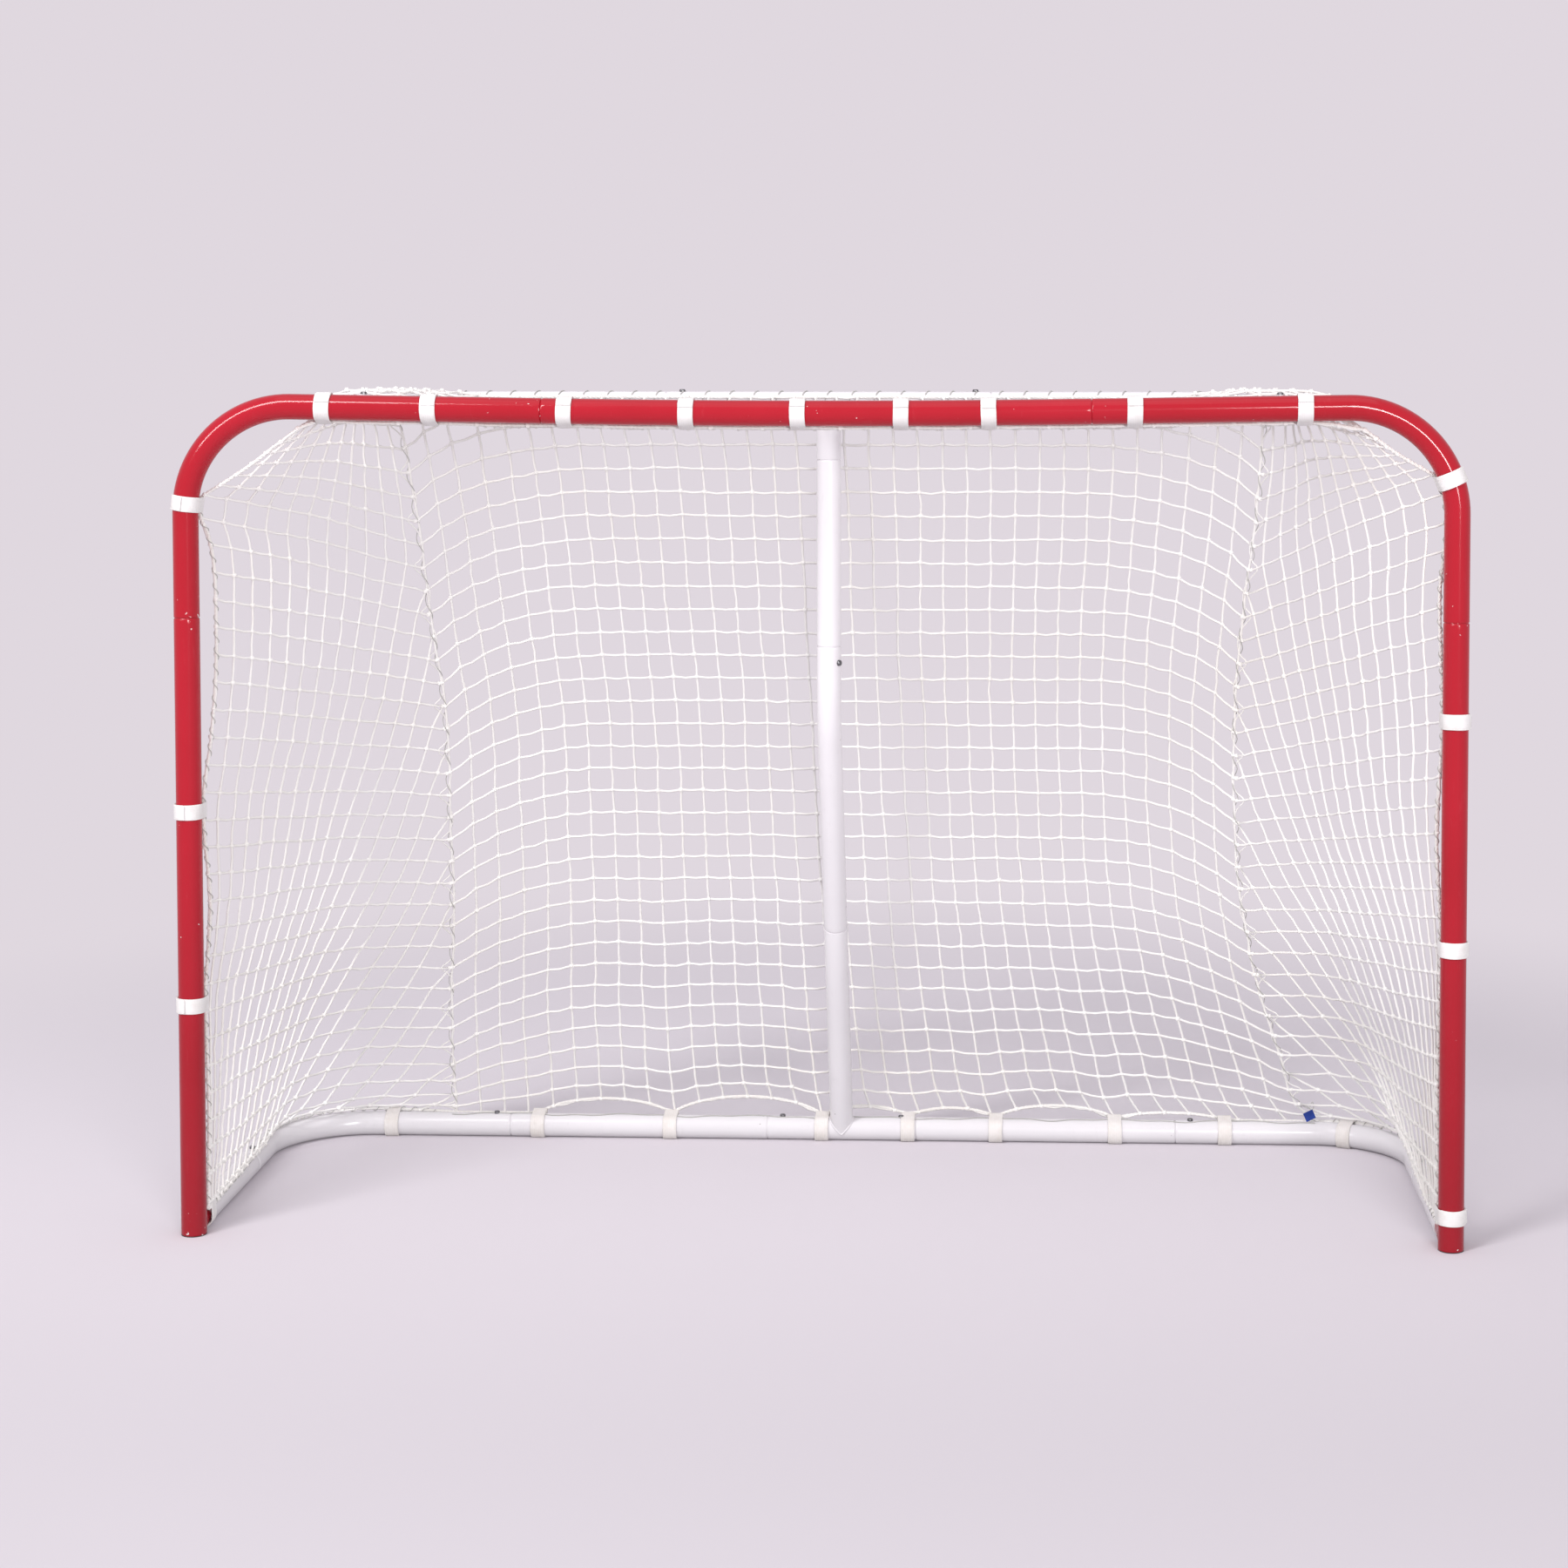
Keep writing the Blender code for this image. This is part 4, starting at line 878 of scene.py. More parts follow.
def beadRowTree():
    # small flattened beads, end over end along a path: weld ripples and stitches
    tree, given = newGroup("beadRow", {
        "Spacing": 0.0017, "Width": 0.0018, "Height": 0.0012, "Length": 0.0016, "Segments": 8, "Seed": 3,
        "Material": None,
    })
    path = addNode(tree, "GeometryNodeMeshToCurve", {"Mesh": given["Geometry"]})
    spots = addNode(tree, "GeometryNodeResampleCurve", {
        "Curve": path.outputs[0], "Length": given["Spacing"],
    }, mode="LENGTH")
    bead = addNode(tree, "GeometryNodeMeshUVSphere", {
        "Segments": given["Segments"], "Rings": maths(tree, "MULTIPLY", given["Segments"], 0.5), "Radius": 1.0,
    })
    smooth = addNode(tree, "GeometryNodeSetShadeSmooth", {"Geometry": bead.outputs[0]})
    tangent = addNode(tree, "GeometryNodeInputTangent").outputs[0]
    stand = addNode(tree, "FunctionNodeAlignRotationToVector", {"Vector": tangent}, axis="X")
    turn = addNode(tree, "FunctionNodeAlignRotationToVector", {
        "Rotation": stand.outputs[0], "Vector": named(tree, "facing"),
    }, axis="Z", pivot_axis="X")
    varied = addNode(tree, "FunctionNodeRandomValue", {2: 0.9, 3: 1.12, "Seed": given["Seed"]}, data_type="FLOAT")
    shape = addNode(tree, "ShaderNodeCombineXYZ", {0: given["Length"], 1: given["Width"], 2: given["Height"]})
    beads = addNode(tree, "GeometryNodeInstanceOnPoints", {
        "Points": spots.outputs[0], "Instance": smooth.outputs[0], "Rotation": turn.outputs[0],
        "Scale": scaled(tree, shape.outputs[0], varied.outputs[1]),
    })
    return endGroup(tree, given, beads.outputs[0])


def plainCordTree():
    tree, given = newGroup("plainCord", {"Cord Radius": 0.001, "Cord Sides": 6, "Material": None})
    path = addNode(tree, "GeometryNodeMeshToCurve", {"Mesh": given["Geometry"]})
    return endGroup(tree, given, roundCord(tree, path.outputs[0], given["Cord Radius"], given["Cord Sides"]))


knottedNet = knottedNetTree()
plainCord = plainCordTree()
laidRope = laidRopeTree()
beadRow = beadRowTree()


def lineMesh(name, lines, facings=None):
    # polylines as loose edges, each closed if its ends meet
    points, edges, faces = [], [], []
    for number, line in enumerate(lines):
        start = len(points)
        closed = (Vector(line[0]) - Vector(line[-1])).length < 1e-7
        body = line[:-1] if closed else line
        points += [tuple(p) for p in body]
        edges += [(start + i, start + i + 1) for i in range(len(body) - 1)]
        if closed:
            edges.append((start + len(body) - 1, start))
        if facings:
            faces += [tuple(f) for f in facings[number][:len(body)]]
    mesh = bpy.data.meshes.new(name)
    mesh.from_pydata(points, edges, [])
    if facings:
        flat = [c for f in faces for c in f]
        mesh.attributes.new("facing", "FLOAT_VECTOR", "POINT").data.foreach_set("vector", flat)
    return mesh


def smoothPath(points, perSpan=6, closed=False):
    # a smooth curve through points that may stand at very unequal distances
    points = [Vector(p) for p in points]
    count, path = len(points), []

    def slope(a, b, c, span):
        before, after = max(1e-6, (b - a).length), max(1e-6, (c - b).length)
        return ((b - a) / before * after + (c - b) / after * before) / (before + after) * span

    for i in range(count if closed else count - 1):
        if closed:
            a, b, c, d = (points[(i + k) % count] for k in (-1, 0, 1, 2))
        else:
            b, c = points[i], points[i + 1]
            a = points[i - 1] if i else b * 2 - c
            d = points[i + 2] if i + 2 < count else c * 2 - b
        span = (c - b).length
        leave, arrive = slope(a, b, c, span), slope(b, c, d, span)
        for k in range(perSpan):
            t = k / perSpan
            path.append(b * (2 * t**3 - 3 * t**2 + 1) + leave * (t**3 - 2 * t**2 + t)
                        + c * (3 * t**2 - 2 * t**3) + arrive * (t**3 - t**2))
    path.append(points[0] if closed else points[-1])
    return path


# weld beads where the stubs and the stems stand on their tubes

weld = {"spacing": 0.0021, "width": 0.0019, "height": 0.0012, "length": 0.0017}


def makeWelds():
    g, radius, slim = goal, tube["radius"], tube["spigot"]
    welds = {
        "leftFootWeld": (Vector((-g["postX"], g["frontY"], g["floorZ"])), yAxis, zAxis, slim, redPaint, "red_paint"),
        "rightFootWeld": (Vector((g["postX"], g["frontY"], g["floorZ"])), yAxis, zAxis, slim, redPaint, "red_paint"),
        "leftArmWeld": (Vector((-g["armX"], g["frontY"], g["topZ"])), yAxis, xAxis, slim, redPaint, "red_paint"),
        "rightArmWeld": (Vector((g["armX"], g["frontY"], g["topZ"])), yAxis, xAxis, slim, redPaint, "red_paint"),
        "baseTeeWeld": (Vector((0, g["backY"], g["floorZ"])), leanUp, xAxis, radius, whitePaint, "white_paint"),
        "topTeeWeld": (Vector((0, g["topBackY"], g["topZ"])), -zAxis, xAxis, radius, whitePaint, "white_paint"),
    }
    for name, (root, direction, host, around, material, slot) in welds.items():
        side = host.cross(direction).normalized()
        line, facings = [], []
        for i in range(97):
            angle = 2 * pi * i / 96
            out = cos(angle) * host + sin(angle) * side
            lift = sqrt(max(0.0, radius**2 - (around * sin(angle)) ** 2))
            line.append(root + out * (around + 0.0003) + direction * (lift + 0.0004))
            facings.append((out + direction).normalized())
        line[-1] = line[0]
        mesh = grown(name, lineMesh(name, [line], [facings]), beadRow, {
            "Spacing": weld["spacing"], "Width": weld["width"], "Height": weld["height"], "Length": weld["length"],
            "Material": material,
        })
        placeObject(name, mesh, material, slot=slot)


makeWelds()
print("welds laid")


# hook-and-loop straps

strap = {
    "width": 0.0225,
    "gauge": 0.0013,
    "cordRadius": 0.0030,
    "cordReach": 0.024,
    "clear": 0.0004,
    "overlap": 0.34,
    "crossbar": (-0.726, -0.569, -0.369, -0.193, -0.026, 0.125, 0.253, 0.466, 0.7125),
    "left": (0.347, 0.637),
    "right": (0.052, 0.447, 0.781),
    "leftTopDrop": 0.150,
    "rightTopDrop": 0.107,
    "base": (-0.7555, -0.509, -0.287, -0.033, 0.1105, 0.257, 0.4546, 0.637, 0.838),
    "cordAngle": radians(-60),
    "slack": 0.0208,
    "endMargin": 0.0009,
    "baseAngle": radians(34),
    "footAngle": radians(45),
    "footLift": 0.0016,
    # points round the band, as shares of its half width and of its thickness
    "section": ((-1, 0.25), (-1, 0.75), (-0.94, 1.0), (-0.5, 1.05), (0.0, 1.08), (0.5, 1.05), (0.94, 1.0),
                (1, 0.75), (1, 0.25), (0.94, 0.0), (0.0, 0.0), (-0.94, 0.0)),
    "stitchRows": (-0.86, 0.86),
}


baseShape = goal["postX"], goal["backY"], goal["floorZ"]
topShape = goal["armX"], goal["topBackY"], goal["topZ"]


def besideTube(shape, distance, angle, reach=None):
    # a point beside a U-shaped frame's tube: distance along it from the middle of its back
    halfWidth, backY, height = shape
    reach = strap["cordReach"] if reach is None else reach
    sign = -1 if distance < 0 else 1
    bar = halfWidth - goal["bend"]
    turn = max(0.0, min(pi / 2, (abs(distance) - bar) / goal["bend"]))
    arm = max(0.0, abs(distance) - bar - goal["bend"] * pi / 2)
    outward = Vector((sign * sin(turn), cos(turn), 0))
    hub = Vector((sign * min(abs(distance), bar), backY - goal["bend"] - arm, height))
    return hub + outward * goal["bend"] + reach * (sin(angle) * outward + cos(angle) * zAxis)


def frontRun(sign, steps=6):
    g = goal
    x = sign * g["postX"]
    return rounded([(x, g["frontY"], g["postBottom"]), (x, g["frontY"], g["cornerZ"]),
                    (sign * g["crossbarJoint"], g["frontY"], g["crossbarZ"])], g["bend"], steps)


def nearestSeat(stations, wanted):
    # the place on a run nearest to a wanted point, clear of its facet ends as in the CAD
    best, margin = None, strap["width"] / 2 + strap["endMargin"]
    for (start, _), (end, _) in zip(stations, stations[1:]):
        length = (end - start).length
        if length < 2 * margin:
            continue
        along = (end - start) / length
        share = min(max((wanted - start).dot(along), margin), length - margin)
        place = start + along * share
        if best is None or (place - wanted).length < (best[0] - wanted).length:
            best = place, along
    return best


def crossbarSeat(x):
    stations = crossbarArc(4) if abs(x) < goal["crossbarJoint"] else frontRun(-1 if x < 0 else 1)
    centre, along = nearestSeat(stations, Vector((x, goal["frontY"], goal["crossbarZ"])))
    along = -along if along.x < 0 else along
    toward = Vector((0, cos(strap["cordAngle"]), sin(strap["cordAngle"])))
    return centre, along, (toward - along * toward.dot(along)).normalized()


def postSeat(sign, height):
    centre, along = nearestSeat(frontRun(sign), Vector((sign * goal["postX"], goal["frontY"], height)))
    return centre, along, (yAxis.cross(along) * -sign + yAxis).normalized()


def baseSeat(distance):
    # distance along the base frame from the middle of its back
    angle = strap["baseAngle"]
    centre, outward = (besideTube(baseShape, distance, a, r) for a, r in ((0, 0), (pi / 2, 1)))
    outward = (outward - centre).normalized()
    return centre, outward.cross(zAxis), outward * sin(angle) + zAxis * cos(angle)


def footSeat():
    # a slack ring that stands on the floor round the stub
    depth = (tube["radius"] + goal["collar"]) / 2
    centre = Vector((-goal["postX"], goal["frontY"] + depth, strap["slack"] + strap["gauge"] + strap["footLift"]))
    return centre, yAxis, Vector((sin(strap["footAngle"]), 0, cos(strap["footAngle"])))


crossbarSeats = [crossbarSeat(x) for x in strap["crossbar"]]
postSeats = {
    "left": [postSeat(-1, z) for z in (*strap["left"], goal["cornerZ"] - strap["leftTopDrop"])],
    "right": [postSeat(1, z) for z in (*strap["right"], goal["cornerZ"] - strap["rightTopDrop"])],
}
baseSeats = [baseSeat(x) for x in strap["base"]]


def loopAt(share, tubeRadius, cordRadius):
    # a taut loop round a tube at the origin and a cord beside it, and its outward direction
    reach = strap["cordReach"]
    spread = acos((tubeRadius - cordRadius) / reach)
    bigArc, smallArc = 2 * (pi - spread) * tubeRadius, 2 * spread * cordRadius
    straight = reach * sin(spread)
    at = share % 1.0 * (bigArc + smallArc + 2 * straight)
    if at < bigArc:
        angle = spread + at / tubeRadius
        out = Vector((cos(angle), sin(angle)))
        return out * tubeRadius, out
    at -= bigArc
    if at < straight:
        out = Vector((cos(spread), -sin(spread)))
        return mix(out * tubeRadius, out * cordRadius + Vector((reach, 0)), at / straight), out
    at -= straight
    if at < smallArc:
        angle = -spread + at / cordRadius
        out = Vector((cos(angle), sin(angle)))
        return out * cordRadius + Vector((reach, 0)), out
    at -= smallArc
    out = Vector((cos(spread), sin(spread)))
    return mix(out * cordRadius + Vector((reach, 0)), out * tubeRadius, at / straight), out


def strapMesh(name, seat, wrapped, seed, gauge=None, tail=None):
    centre, along, toward = seat
    across = along.cross(toward).normalized()
    gauge = gauge or strap["gauge"]
    tail = strap["overlap"] if tail is None else tail
    inner, cordRadius = wrapped + strap["clear"], strap["cordRadius"] + strap["clear"]
    length = 2 * pi * inner + 0.03
    start, steps = 0.10 + 0.03 * noise.noise(Vector((seed, 0.3, 0))), 84
    half = strap["width"] / 2
    skew = 0.0016 * noise.noise(Vector((seed * 1.7, 4.1, 0)))
    points, uvs, stitchLines, stitchFaces = [], [], ([], []), ([], [])
    for i in range(steps + 1):
        share = start + (1 + tail) * i / steps
        over = smoothStep(share, start + 0.90, start + 1.0) * (gauge + 0.0002)
        spot, out = loopAt(share, inner, cordRadius)
        last = smoothStep(share, start + 1 + tail - 0.05, start + 1 + tail)
        over += last * 0.0006
        wave = 0.00035 * noise.noise(Vector((seed, share * 9, 1.7)))
        slip = skew * sin(share * 2 * pi) + 0.0004 * noise.noise(Vector((seed, share * 5, 8.2)))
        narrow = 1 - 0.05 * last + 0.02 * noise.noise(Vector((seed, share * 7, 3.3)))
        for w, lift in strap["section"]:
            rise = over + lift * gauge + wave * w * (lift > 0)
            flat = spot + out * max(rise, 0.0)
            place = centre + along * (w * half * narrow + slip) + toward * flat.x + across * flat.y
            place.z = max(place.z, 0.0006 - 0.0003 * lift)
            points.append(place)
        for side, w in enumerate(strap["stitchRows"]):
            flat = spot + out * (over + gauge * 1.02)
            place = centre + along * (w * half * narrow + slip) + toward * flat.x + across * flat.y
            place.z = max(place.z, 0.0006)
            stitchLines[side].append(place)
            stitchFaces[side].append((toward * out.x + across * out.y).normalized())
    ring = len(strap["section"])
    faces = ringFaces(steps + 1, ring, False)
    faces += [tuple(range(ring)), tuple(range(steps * ring, (steps + 1) * ring))]
    mesh = bpy.data.meshes.new(name)
    mesh.from_pydata([tuple(p) for p in points], [], faces)
    layer = mesh.uv_layers.new(name="weave")
    for polygon in mesh.polygons:
        corners = [mesh.loops[k].vertex_index for k in polygon.loop_indices]
        for loop, vertex in zip(polygon.loop_indices, corners):
            layer.data[loop].uv = ((vertex // ring) * (1 + tail) * length / steps,
                                   (mesh.vertices[vertex].co - centre).dot(along))
    faceOutwards(mesh)
    smoothMesh(mesh, 50)
    return mesh, stitchLines, stitchFaces


def makeStrap(name, seat, seed, node=None, wrapped=None, gauge=None, tail=None, webbing=None):
    mesh, lines, faces = strapMesh(name, seat, wrapped or tube["radius"], seed, gauge, tail)
    placeObject(name, mesh, webbing or strapWebbing, slot="strap_webbing", replaces=[node] if node else ())
    return list(zip(lines, faces))


def makeStraps():
    stitches = []
    for number, seat in enumerate(crossbarSeats, 1):
        stitches += makeStrap(f"crossbarStrap{number}", seat, number * 3.1, f"crossbar_strap_{number}")
    for side, seats in postSeats.items():
        for number, seat in enumerate(seats, 1):
            stitches += makeStrap(f"{side}PostStrap{number}", seat, number * 5.3 + len(side),
                                  f"{side}_post_strap_{number}")
    for number, seat in enumerate(baseSeats, 1):
        stitches += makeStrap(f"baseStrap{number}", seat, number * 7.7, webbing=agedWebbing)
    stitches += makeStrap("leftFootStrap", footSeat(), 2.2, "left_foot_strap", strap["slack"], 0.0012, 0.2)
    mesh = grown("strapStitches", lineMesh("s", [s[0] for s in stitches], [s[1] for s in stitches]), beadRow, {
        "Spacing": 0.0036, "Width": 0.00032, "Height": 0.00028, "Length": 0.0013, "Segments": 6, "Material": edgeRope,
    })
    placeObject("strapStitches", mesh, edgeRope, slot="strap_webbing")


makeStraps()
print("straps wrapped")


# the net's surfaces

net = {
    "cordRadius": 0.0021,
    "sideRadius": 0.0020,
    "backColumns": 35,
    "backRows": 32,
    "extraRows": 2,
    "leftFold": 27.8,
    "rightFold": 27.7,
    "leftFootRow": 1.8,
    "rightFootRow": 1.1,
    "leftColumns": (22, 10.7),
    "rightColumns": (22, 10.6),
    "leftGather": 1.65,
    "rightGather": 2.0,
    "topGather": 1.25,
    "roofRows": 7,
    "roofColumns": 41,
    "roofSag": 0.018,
    "roofRowDepth": 0.105,
    "seamGap": 0.004,
    "postSag": 0.024,
    "crossbarSag": 0.0015,
    "leftFoot": 0.6545,
    "rightFoot": 0.786,
    "leftTurn": radians(56),
    "rightTurn": radians(54),
    "leftBow": ((0, 0), (0.1, 0.004), (0.17, 0.010), (0.27, 0.022), (0.36, 0.030), (0.46, 0.036), (0.58, 0.041),
                (0.70, 0.032), (0.82, 0.024), (0.93, 0.014), (1, 0)),
    "rightBow": ((0, 0), (0.036, -0.031), (0.083, -0.043), (0.131, -0.057), (0.226, -0.080), (0.345, -0.093),
                 (0.464, -0.090), (0.583, -0.080), (0.70, -0.059), (0.82, -0.030), (0.93, -0.007), (1, 0)),
    "leftFree": 0.768,
    "rightFree": 0.800,
    "freeDrop": 0.033,
    "backTop": radians(62),
    "backFoot": radians(52),
    "footEdge": radians(-45),
    "roofBack": radians(-62),
    "sideTop": radians(58),
    "seamDrop": 0.067,
    "seamReach": 0.36,
    "arches": (0, 0, 0.026, 0.032, 0.018, 0.016, 0.022, 0.012, 0, 0),
    "archEnd": 0.93,
    "leftTopBow": ((0.24, 0.6), (0.6, 1.0), (0.9, 0.5)),
    "jitter": 0.0022,
    "clear": 0.0006,
}


def tubeDistance(shape, depth):
    halfWidth, backY, _ = shape
    return halfWidth - goal["bend"] + goal["bend"] * pi / 2 + backY - goal["bend"] - goal["frontY"] - depth


def curveAt(table, at):
    # a smooth curve through a table of (place, value)
    i = max(0, min(len(table) - 2, bisect([place for place, _ in table], at) - 1))
    (x0, y0), (x1, y1) = table[i], table[i + 1]
    (xBefore, yBefore), (xAfter, yAfter) = table[max(0, i - 1)], table[min(len(table) - 1, i + 2)]
    slopeIn, slopeOut = (y1 - yBefore) / (x1 - xBefore), (yAfter - y0) / (xAfter - x0)
    length = x1 - x0
    t = max(0.0, min(1.0, (at - x0) / length))
    return ((2 * t**3 - 3 * t**2 + 1) * y0 + (t**3 - 2 * t**2 + t) * length * slopeIn
            + (3 * t**2 - 2 * t**3) * y1 + (t**3 - t**2) * length * slopeOut)


def seamEnds(side):
    straight = goal["armX"] - goal["bend"]
    return straight + goal["bend"] * net[side + "Turn"], net[side + "Foot"]


def archAt(x):
    # the lower edge lifts off the base bar between its straps
    marks = (-net["archEnd"], *strap["base"], net["archEnd"])
    for a, b, rise in zip(marks, marks[1:], net["arches"]):
        if a <= x <= b:
            share = (x - a) / (b - a)
            return rise * (4 * share * (1 - share)) ** 0.7
    return 0.0


def backSurface(across, up):
    leftTop, leftFoot = seamEnds("left")
    rightTop, rightFoot = seamEnds("right")
    top = besideTube(topShape, mix(-leftTop, rightTop, across), net["backTop"])
    foot = besideTube(baseShape, mix(-leftFoot, rightFoot, across), net["backFoot"])
    arch = archAt(foot.x) * (0.45 * exp(-40 * up) + 0.55 * exp(-5 * up))
    bow = curveAt(net["leftBow"], up) * (1 - across) ** 2 + curveAt(net["rightBow"], up) * across**2
    return mix(foot, top, up) + zAxis * arch + xAxis * bow


def dropped(across, up):
    # rows hang lower beside the seams than in the middle, so more of them fit there
    width = net["leftFoot"] + net["rightFoot"]
    near = min(across, 1 - across) * width
    fade = max(0.0, 1 - near / net["seamReach"]) ** 3
    return up - net["seamDrop"] * fade * (1 - exp(-max(0.0, up) / 0.08))


def seamTop():
    # the number of rows, as a share, at which a seam meets the top
    return 1 + net["seamDrop"]


def rowUp(row):
    rows = net["backRows"]
    return seamTop() if row == rows + net["extraRows"] else row / rows


def jitter(point, amount, key):
    spread = Vector((noise.noise(point * 11 + Vector((key, 0, 0))), noise.noise(point * 11 + Vector((0, key, 0))),
                     noise.noise(point * 11 + Vector((0, 0, key)))))
    fine = noise.noise_vector(point * 43 + Vector((key, key, 0)))
    return point + spread * amount + fine * amount * 0.45


tubeRuns = []


def collectRuns():
    g = goal
    for sign in (-1, 1):
        tubeRuns.append([p for p, _ in frontRun(sign, 14)])
        for halfWidth, backY, height in (baseShape, topShape):
            x = sign * halfWidth
            runs = [(x, g["frontY"], height), (x, backY, height), (0, backY, height)]
            tubeRuns.append([p for p, _ in rounded(runs, g["bend"], 14)])
    tubeRuns.append([p for p, _ in crossbarArc(8)])
    stem = [stemTop, Vector((0, g["topBackY"], g["kneeZ"])), Vector((0, g["topBackY"], g["topZ"]))]
    tubeRuns.append([Vector((0, g["backY"], g["floorZ"]))] + [p for p, _ in rounded(stem, g["kneeBend"], 8)])


def outsideTubes(point, clear):
    # pushes a cord out of any tube that it would run into
    for run in tubeRuns:
        for a, b in zip(run, run[1:]):
            span = b - a
            share = max(0.0, min(1.0, (point - a).dot(span) / span.length_squared))
            off = point - (a + span * share)
            if off.length < clear:
                point = point + off.normalized() * (clear - off.length)
    return point


collectRuns()


class Lattice:
    # knots at numbered places, and the cords between them
    def __init__(self, surface, key):
        self.surface, self.key = surface, key
        self.points, self.edges, self.knots, self.index = [], [], [], {}
        self.along, self.facing = [], []

    def spot(self, across, up, amount):
        point = jitter(self.surface(across, up), amount, self.key)
        return outsideTubes(point, tube["radius"] + net["cordRadius"] + net["clear"])

    def knot(self, name, across, up, tied=True, amount=net["jitter"]):
        if name in self.index:
            return
        point = self.spot(across, up, amount)
        step = 0.01
        right = self.surface(min(1, across + step), up) - self.surface(max(0, across - step), up)
        rise = self.surface(across, up + step) - self.surface(across, max(0, up - step))
        self.index[name] = len(self.points), across, up
        self.points.append(point)
        self.knots.append(1.0 if tied else 0.0)
        self.along.append(right.normalized())
        self.facing.append(right.cross(rise).normalized())

    def cord(self, a, b, sag=0.0):
        if a not in self.index or b not in self.index:
            return
        i, j = self.index[a][0], self.index[b][0]
        p, q = self.points[i], self.points[j]
        middle = (p + q) / 2
        slack = 0.05 * (q - p).length
        middle += Vector((noise.noise(middle * 60), noise.noise(middle * 60 + Vector((5, 0, 0))),
                          noise.noise(middle * 60 + Vector((0, 7, 0))))) * slack * 1.2 - zAxis * sag
        middle = outsideTubes(middle, tube["radius"] + net["cordRadius"] + net["clear"])
        self.points.append(middle)
        self.knots.append(0.0)
        self.along.append(self.along[i])
        self.facing.append(self.facing[i])
        k = len(self.points) - 1
        self.edges += [(i, k), (k, j)]

    def make(self, name, nodes, radius):
        mesh = bpy.data.meshes.new(name)
        mesh.from_pydata([tuple(p) for p in self.points], self.edges, [])
        mesh.attributes.new("knot", "FLOAT", "POINT").data.foreach_set("value", self.knots)
        for label, values in (("along", self.along), ("facing", self.facing)):
            flat = [c for v in values for c in v]
            mesh.attributes.new(label, "FLOAT_VECTOR", "POINT").data.foreach_set("vector", flat)
        made = grown(name, mesh, knottedNet, {"Cord Radius": radius, "Material": netCord})
        print("  ", name, sum(self.knots), "knots,", len(made.polygons), "faces")
        placeObject(name, made, netCord, slot="net_cord", replaces=nodes)


def backNet():
    rows, columns = net["backRows"], net["backColumns"]
    inset = net["seamGap"] / 2 / (net["leftFoot"] + net["rightFoot"])

    def surface(across, up):
        a = mix(inset, 1 - inset, across)
        return backSurface(a, max(0.0, min(1.0, dropped(a, up))))

    lattice = Lattice(surface, 1.3)
    last = rows + net["extraRows"]
    for r in range(last + 1):
        for c in range(columns + 1):
            if dropped(c / columns, rowUp(r)) < 1.0001:
                lattice.knot((c, r), c / columns, rowUp(r))
    for r in range(last + 1):
        for c in range(columns + 1):
            lattice.cord((c, r), (c + 1, r), 0.0014)
            if (c, r) in lattice.index and (c, r + 1) not in lattice.index and r >= rows:
                lattice.knot(("top", c), c / columns, seamTop(), False)
                lattice.cord((c, r), ("top", c))
            else:
                lattice.cord((c, r), (c, r + 1))
    lattice.make("backNet", ["back_net"], net["cordRadius"])


def freeCorner(side, sign):
    x = net[side + "Free"]
    z = goal["cornerZ"] - (goal["postX"] - x) * tan(goal["droop"]) - net["freeDrop"]
    return Vector((sign * x, goal["frontY"] + strap["cordReach"] / 2, z))


def cordThrough(seat):
    centre, along, toward = seat
    half = strap["width"] / 2
    return [centre + toward * strap["cordReach"] + along * shift for shift in (-half, 0, half)]


def slackCord(before, after, sag, share=0.5):
    centre = mix(before[0], after[0], share)
    toward = mix(before[2], after[2], share).normalized()
    return centre + toward * (strap["cordReach"] + sag)


def footStart():
    # how far round the base frame the net's foot reaches
    return tubeDistance(baseShape, -strap["cordReach"] * sin(net["footEdge"]))


def frontEdge(side, sign):
    # the rope from the foot up the post to its top strap
    seats = postSeats[side]
    start = besideTube(baseShape, sign * footStart(), net["footEdge"])
    path = [start]
    for number, seat in enumerate(seats):
        through = cordThrough(seat)
        if number == 0 and side == "left":
            path.append(mix(start, through[0], 0.5) + Vector((-sign, 1, 0)) * 0.002)
        if number:
            gap = (seat[0] - seats[number - 1][0]).length
            sag = net["postSag"] * min(1.0, (gap / 0.45) ** 2) * (1 if sign < 0 else 0.66 if number == 2 else 0.1)
            bow = net["leftTopBow"] if side == "left" and number == 2 else ((0.5, 1.0),)
            path += [slackCord(seats[number - 1], seat, sag * size, share) for share, size in bow]
        path += through
    return path


def topEdge(side, sign):
    # from under the crossbar over the arm to the seam
    arm = tubeDistance(topShape, net["roofRowDepth"])
    end = seamEnds(side)[0] + net["seamGap"] / 2
    return [freeCorner(side, sign)] + [
        besideTube(topShape, sign * mix(arm, end, s), net["sideTop"]) for s in (0, 0.5, 1)]


def cornerEdge(side, sign):
    # diagonally from the post's top strap to under the crossbar
    last = cordThrough(postSeats[side][-1])[-1]
    hook = freeCorner(side, sign)
    return [last, mix(last, hook, 0.5) - zAxis * 0.004, hook]


def pathAt(path, share):
    # a point a share of the way along a list of points
    lengths = [(b - a).length for a, b in zip(path, path[1:])]
    at = share * sum(lengths)
    for (a, b), length in zip(zip(path, path[1:]), lengths):
        if at <= length:
            return mix(a, b, at / length)
        at -= length
    return path[-1]


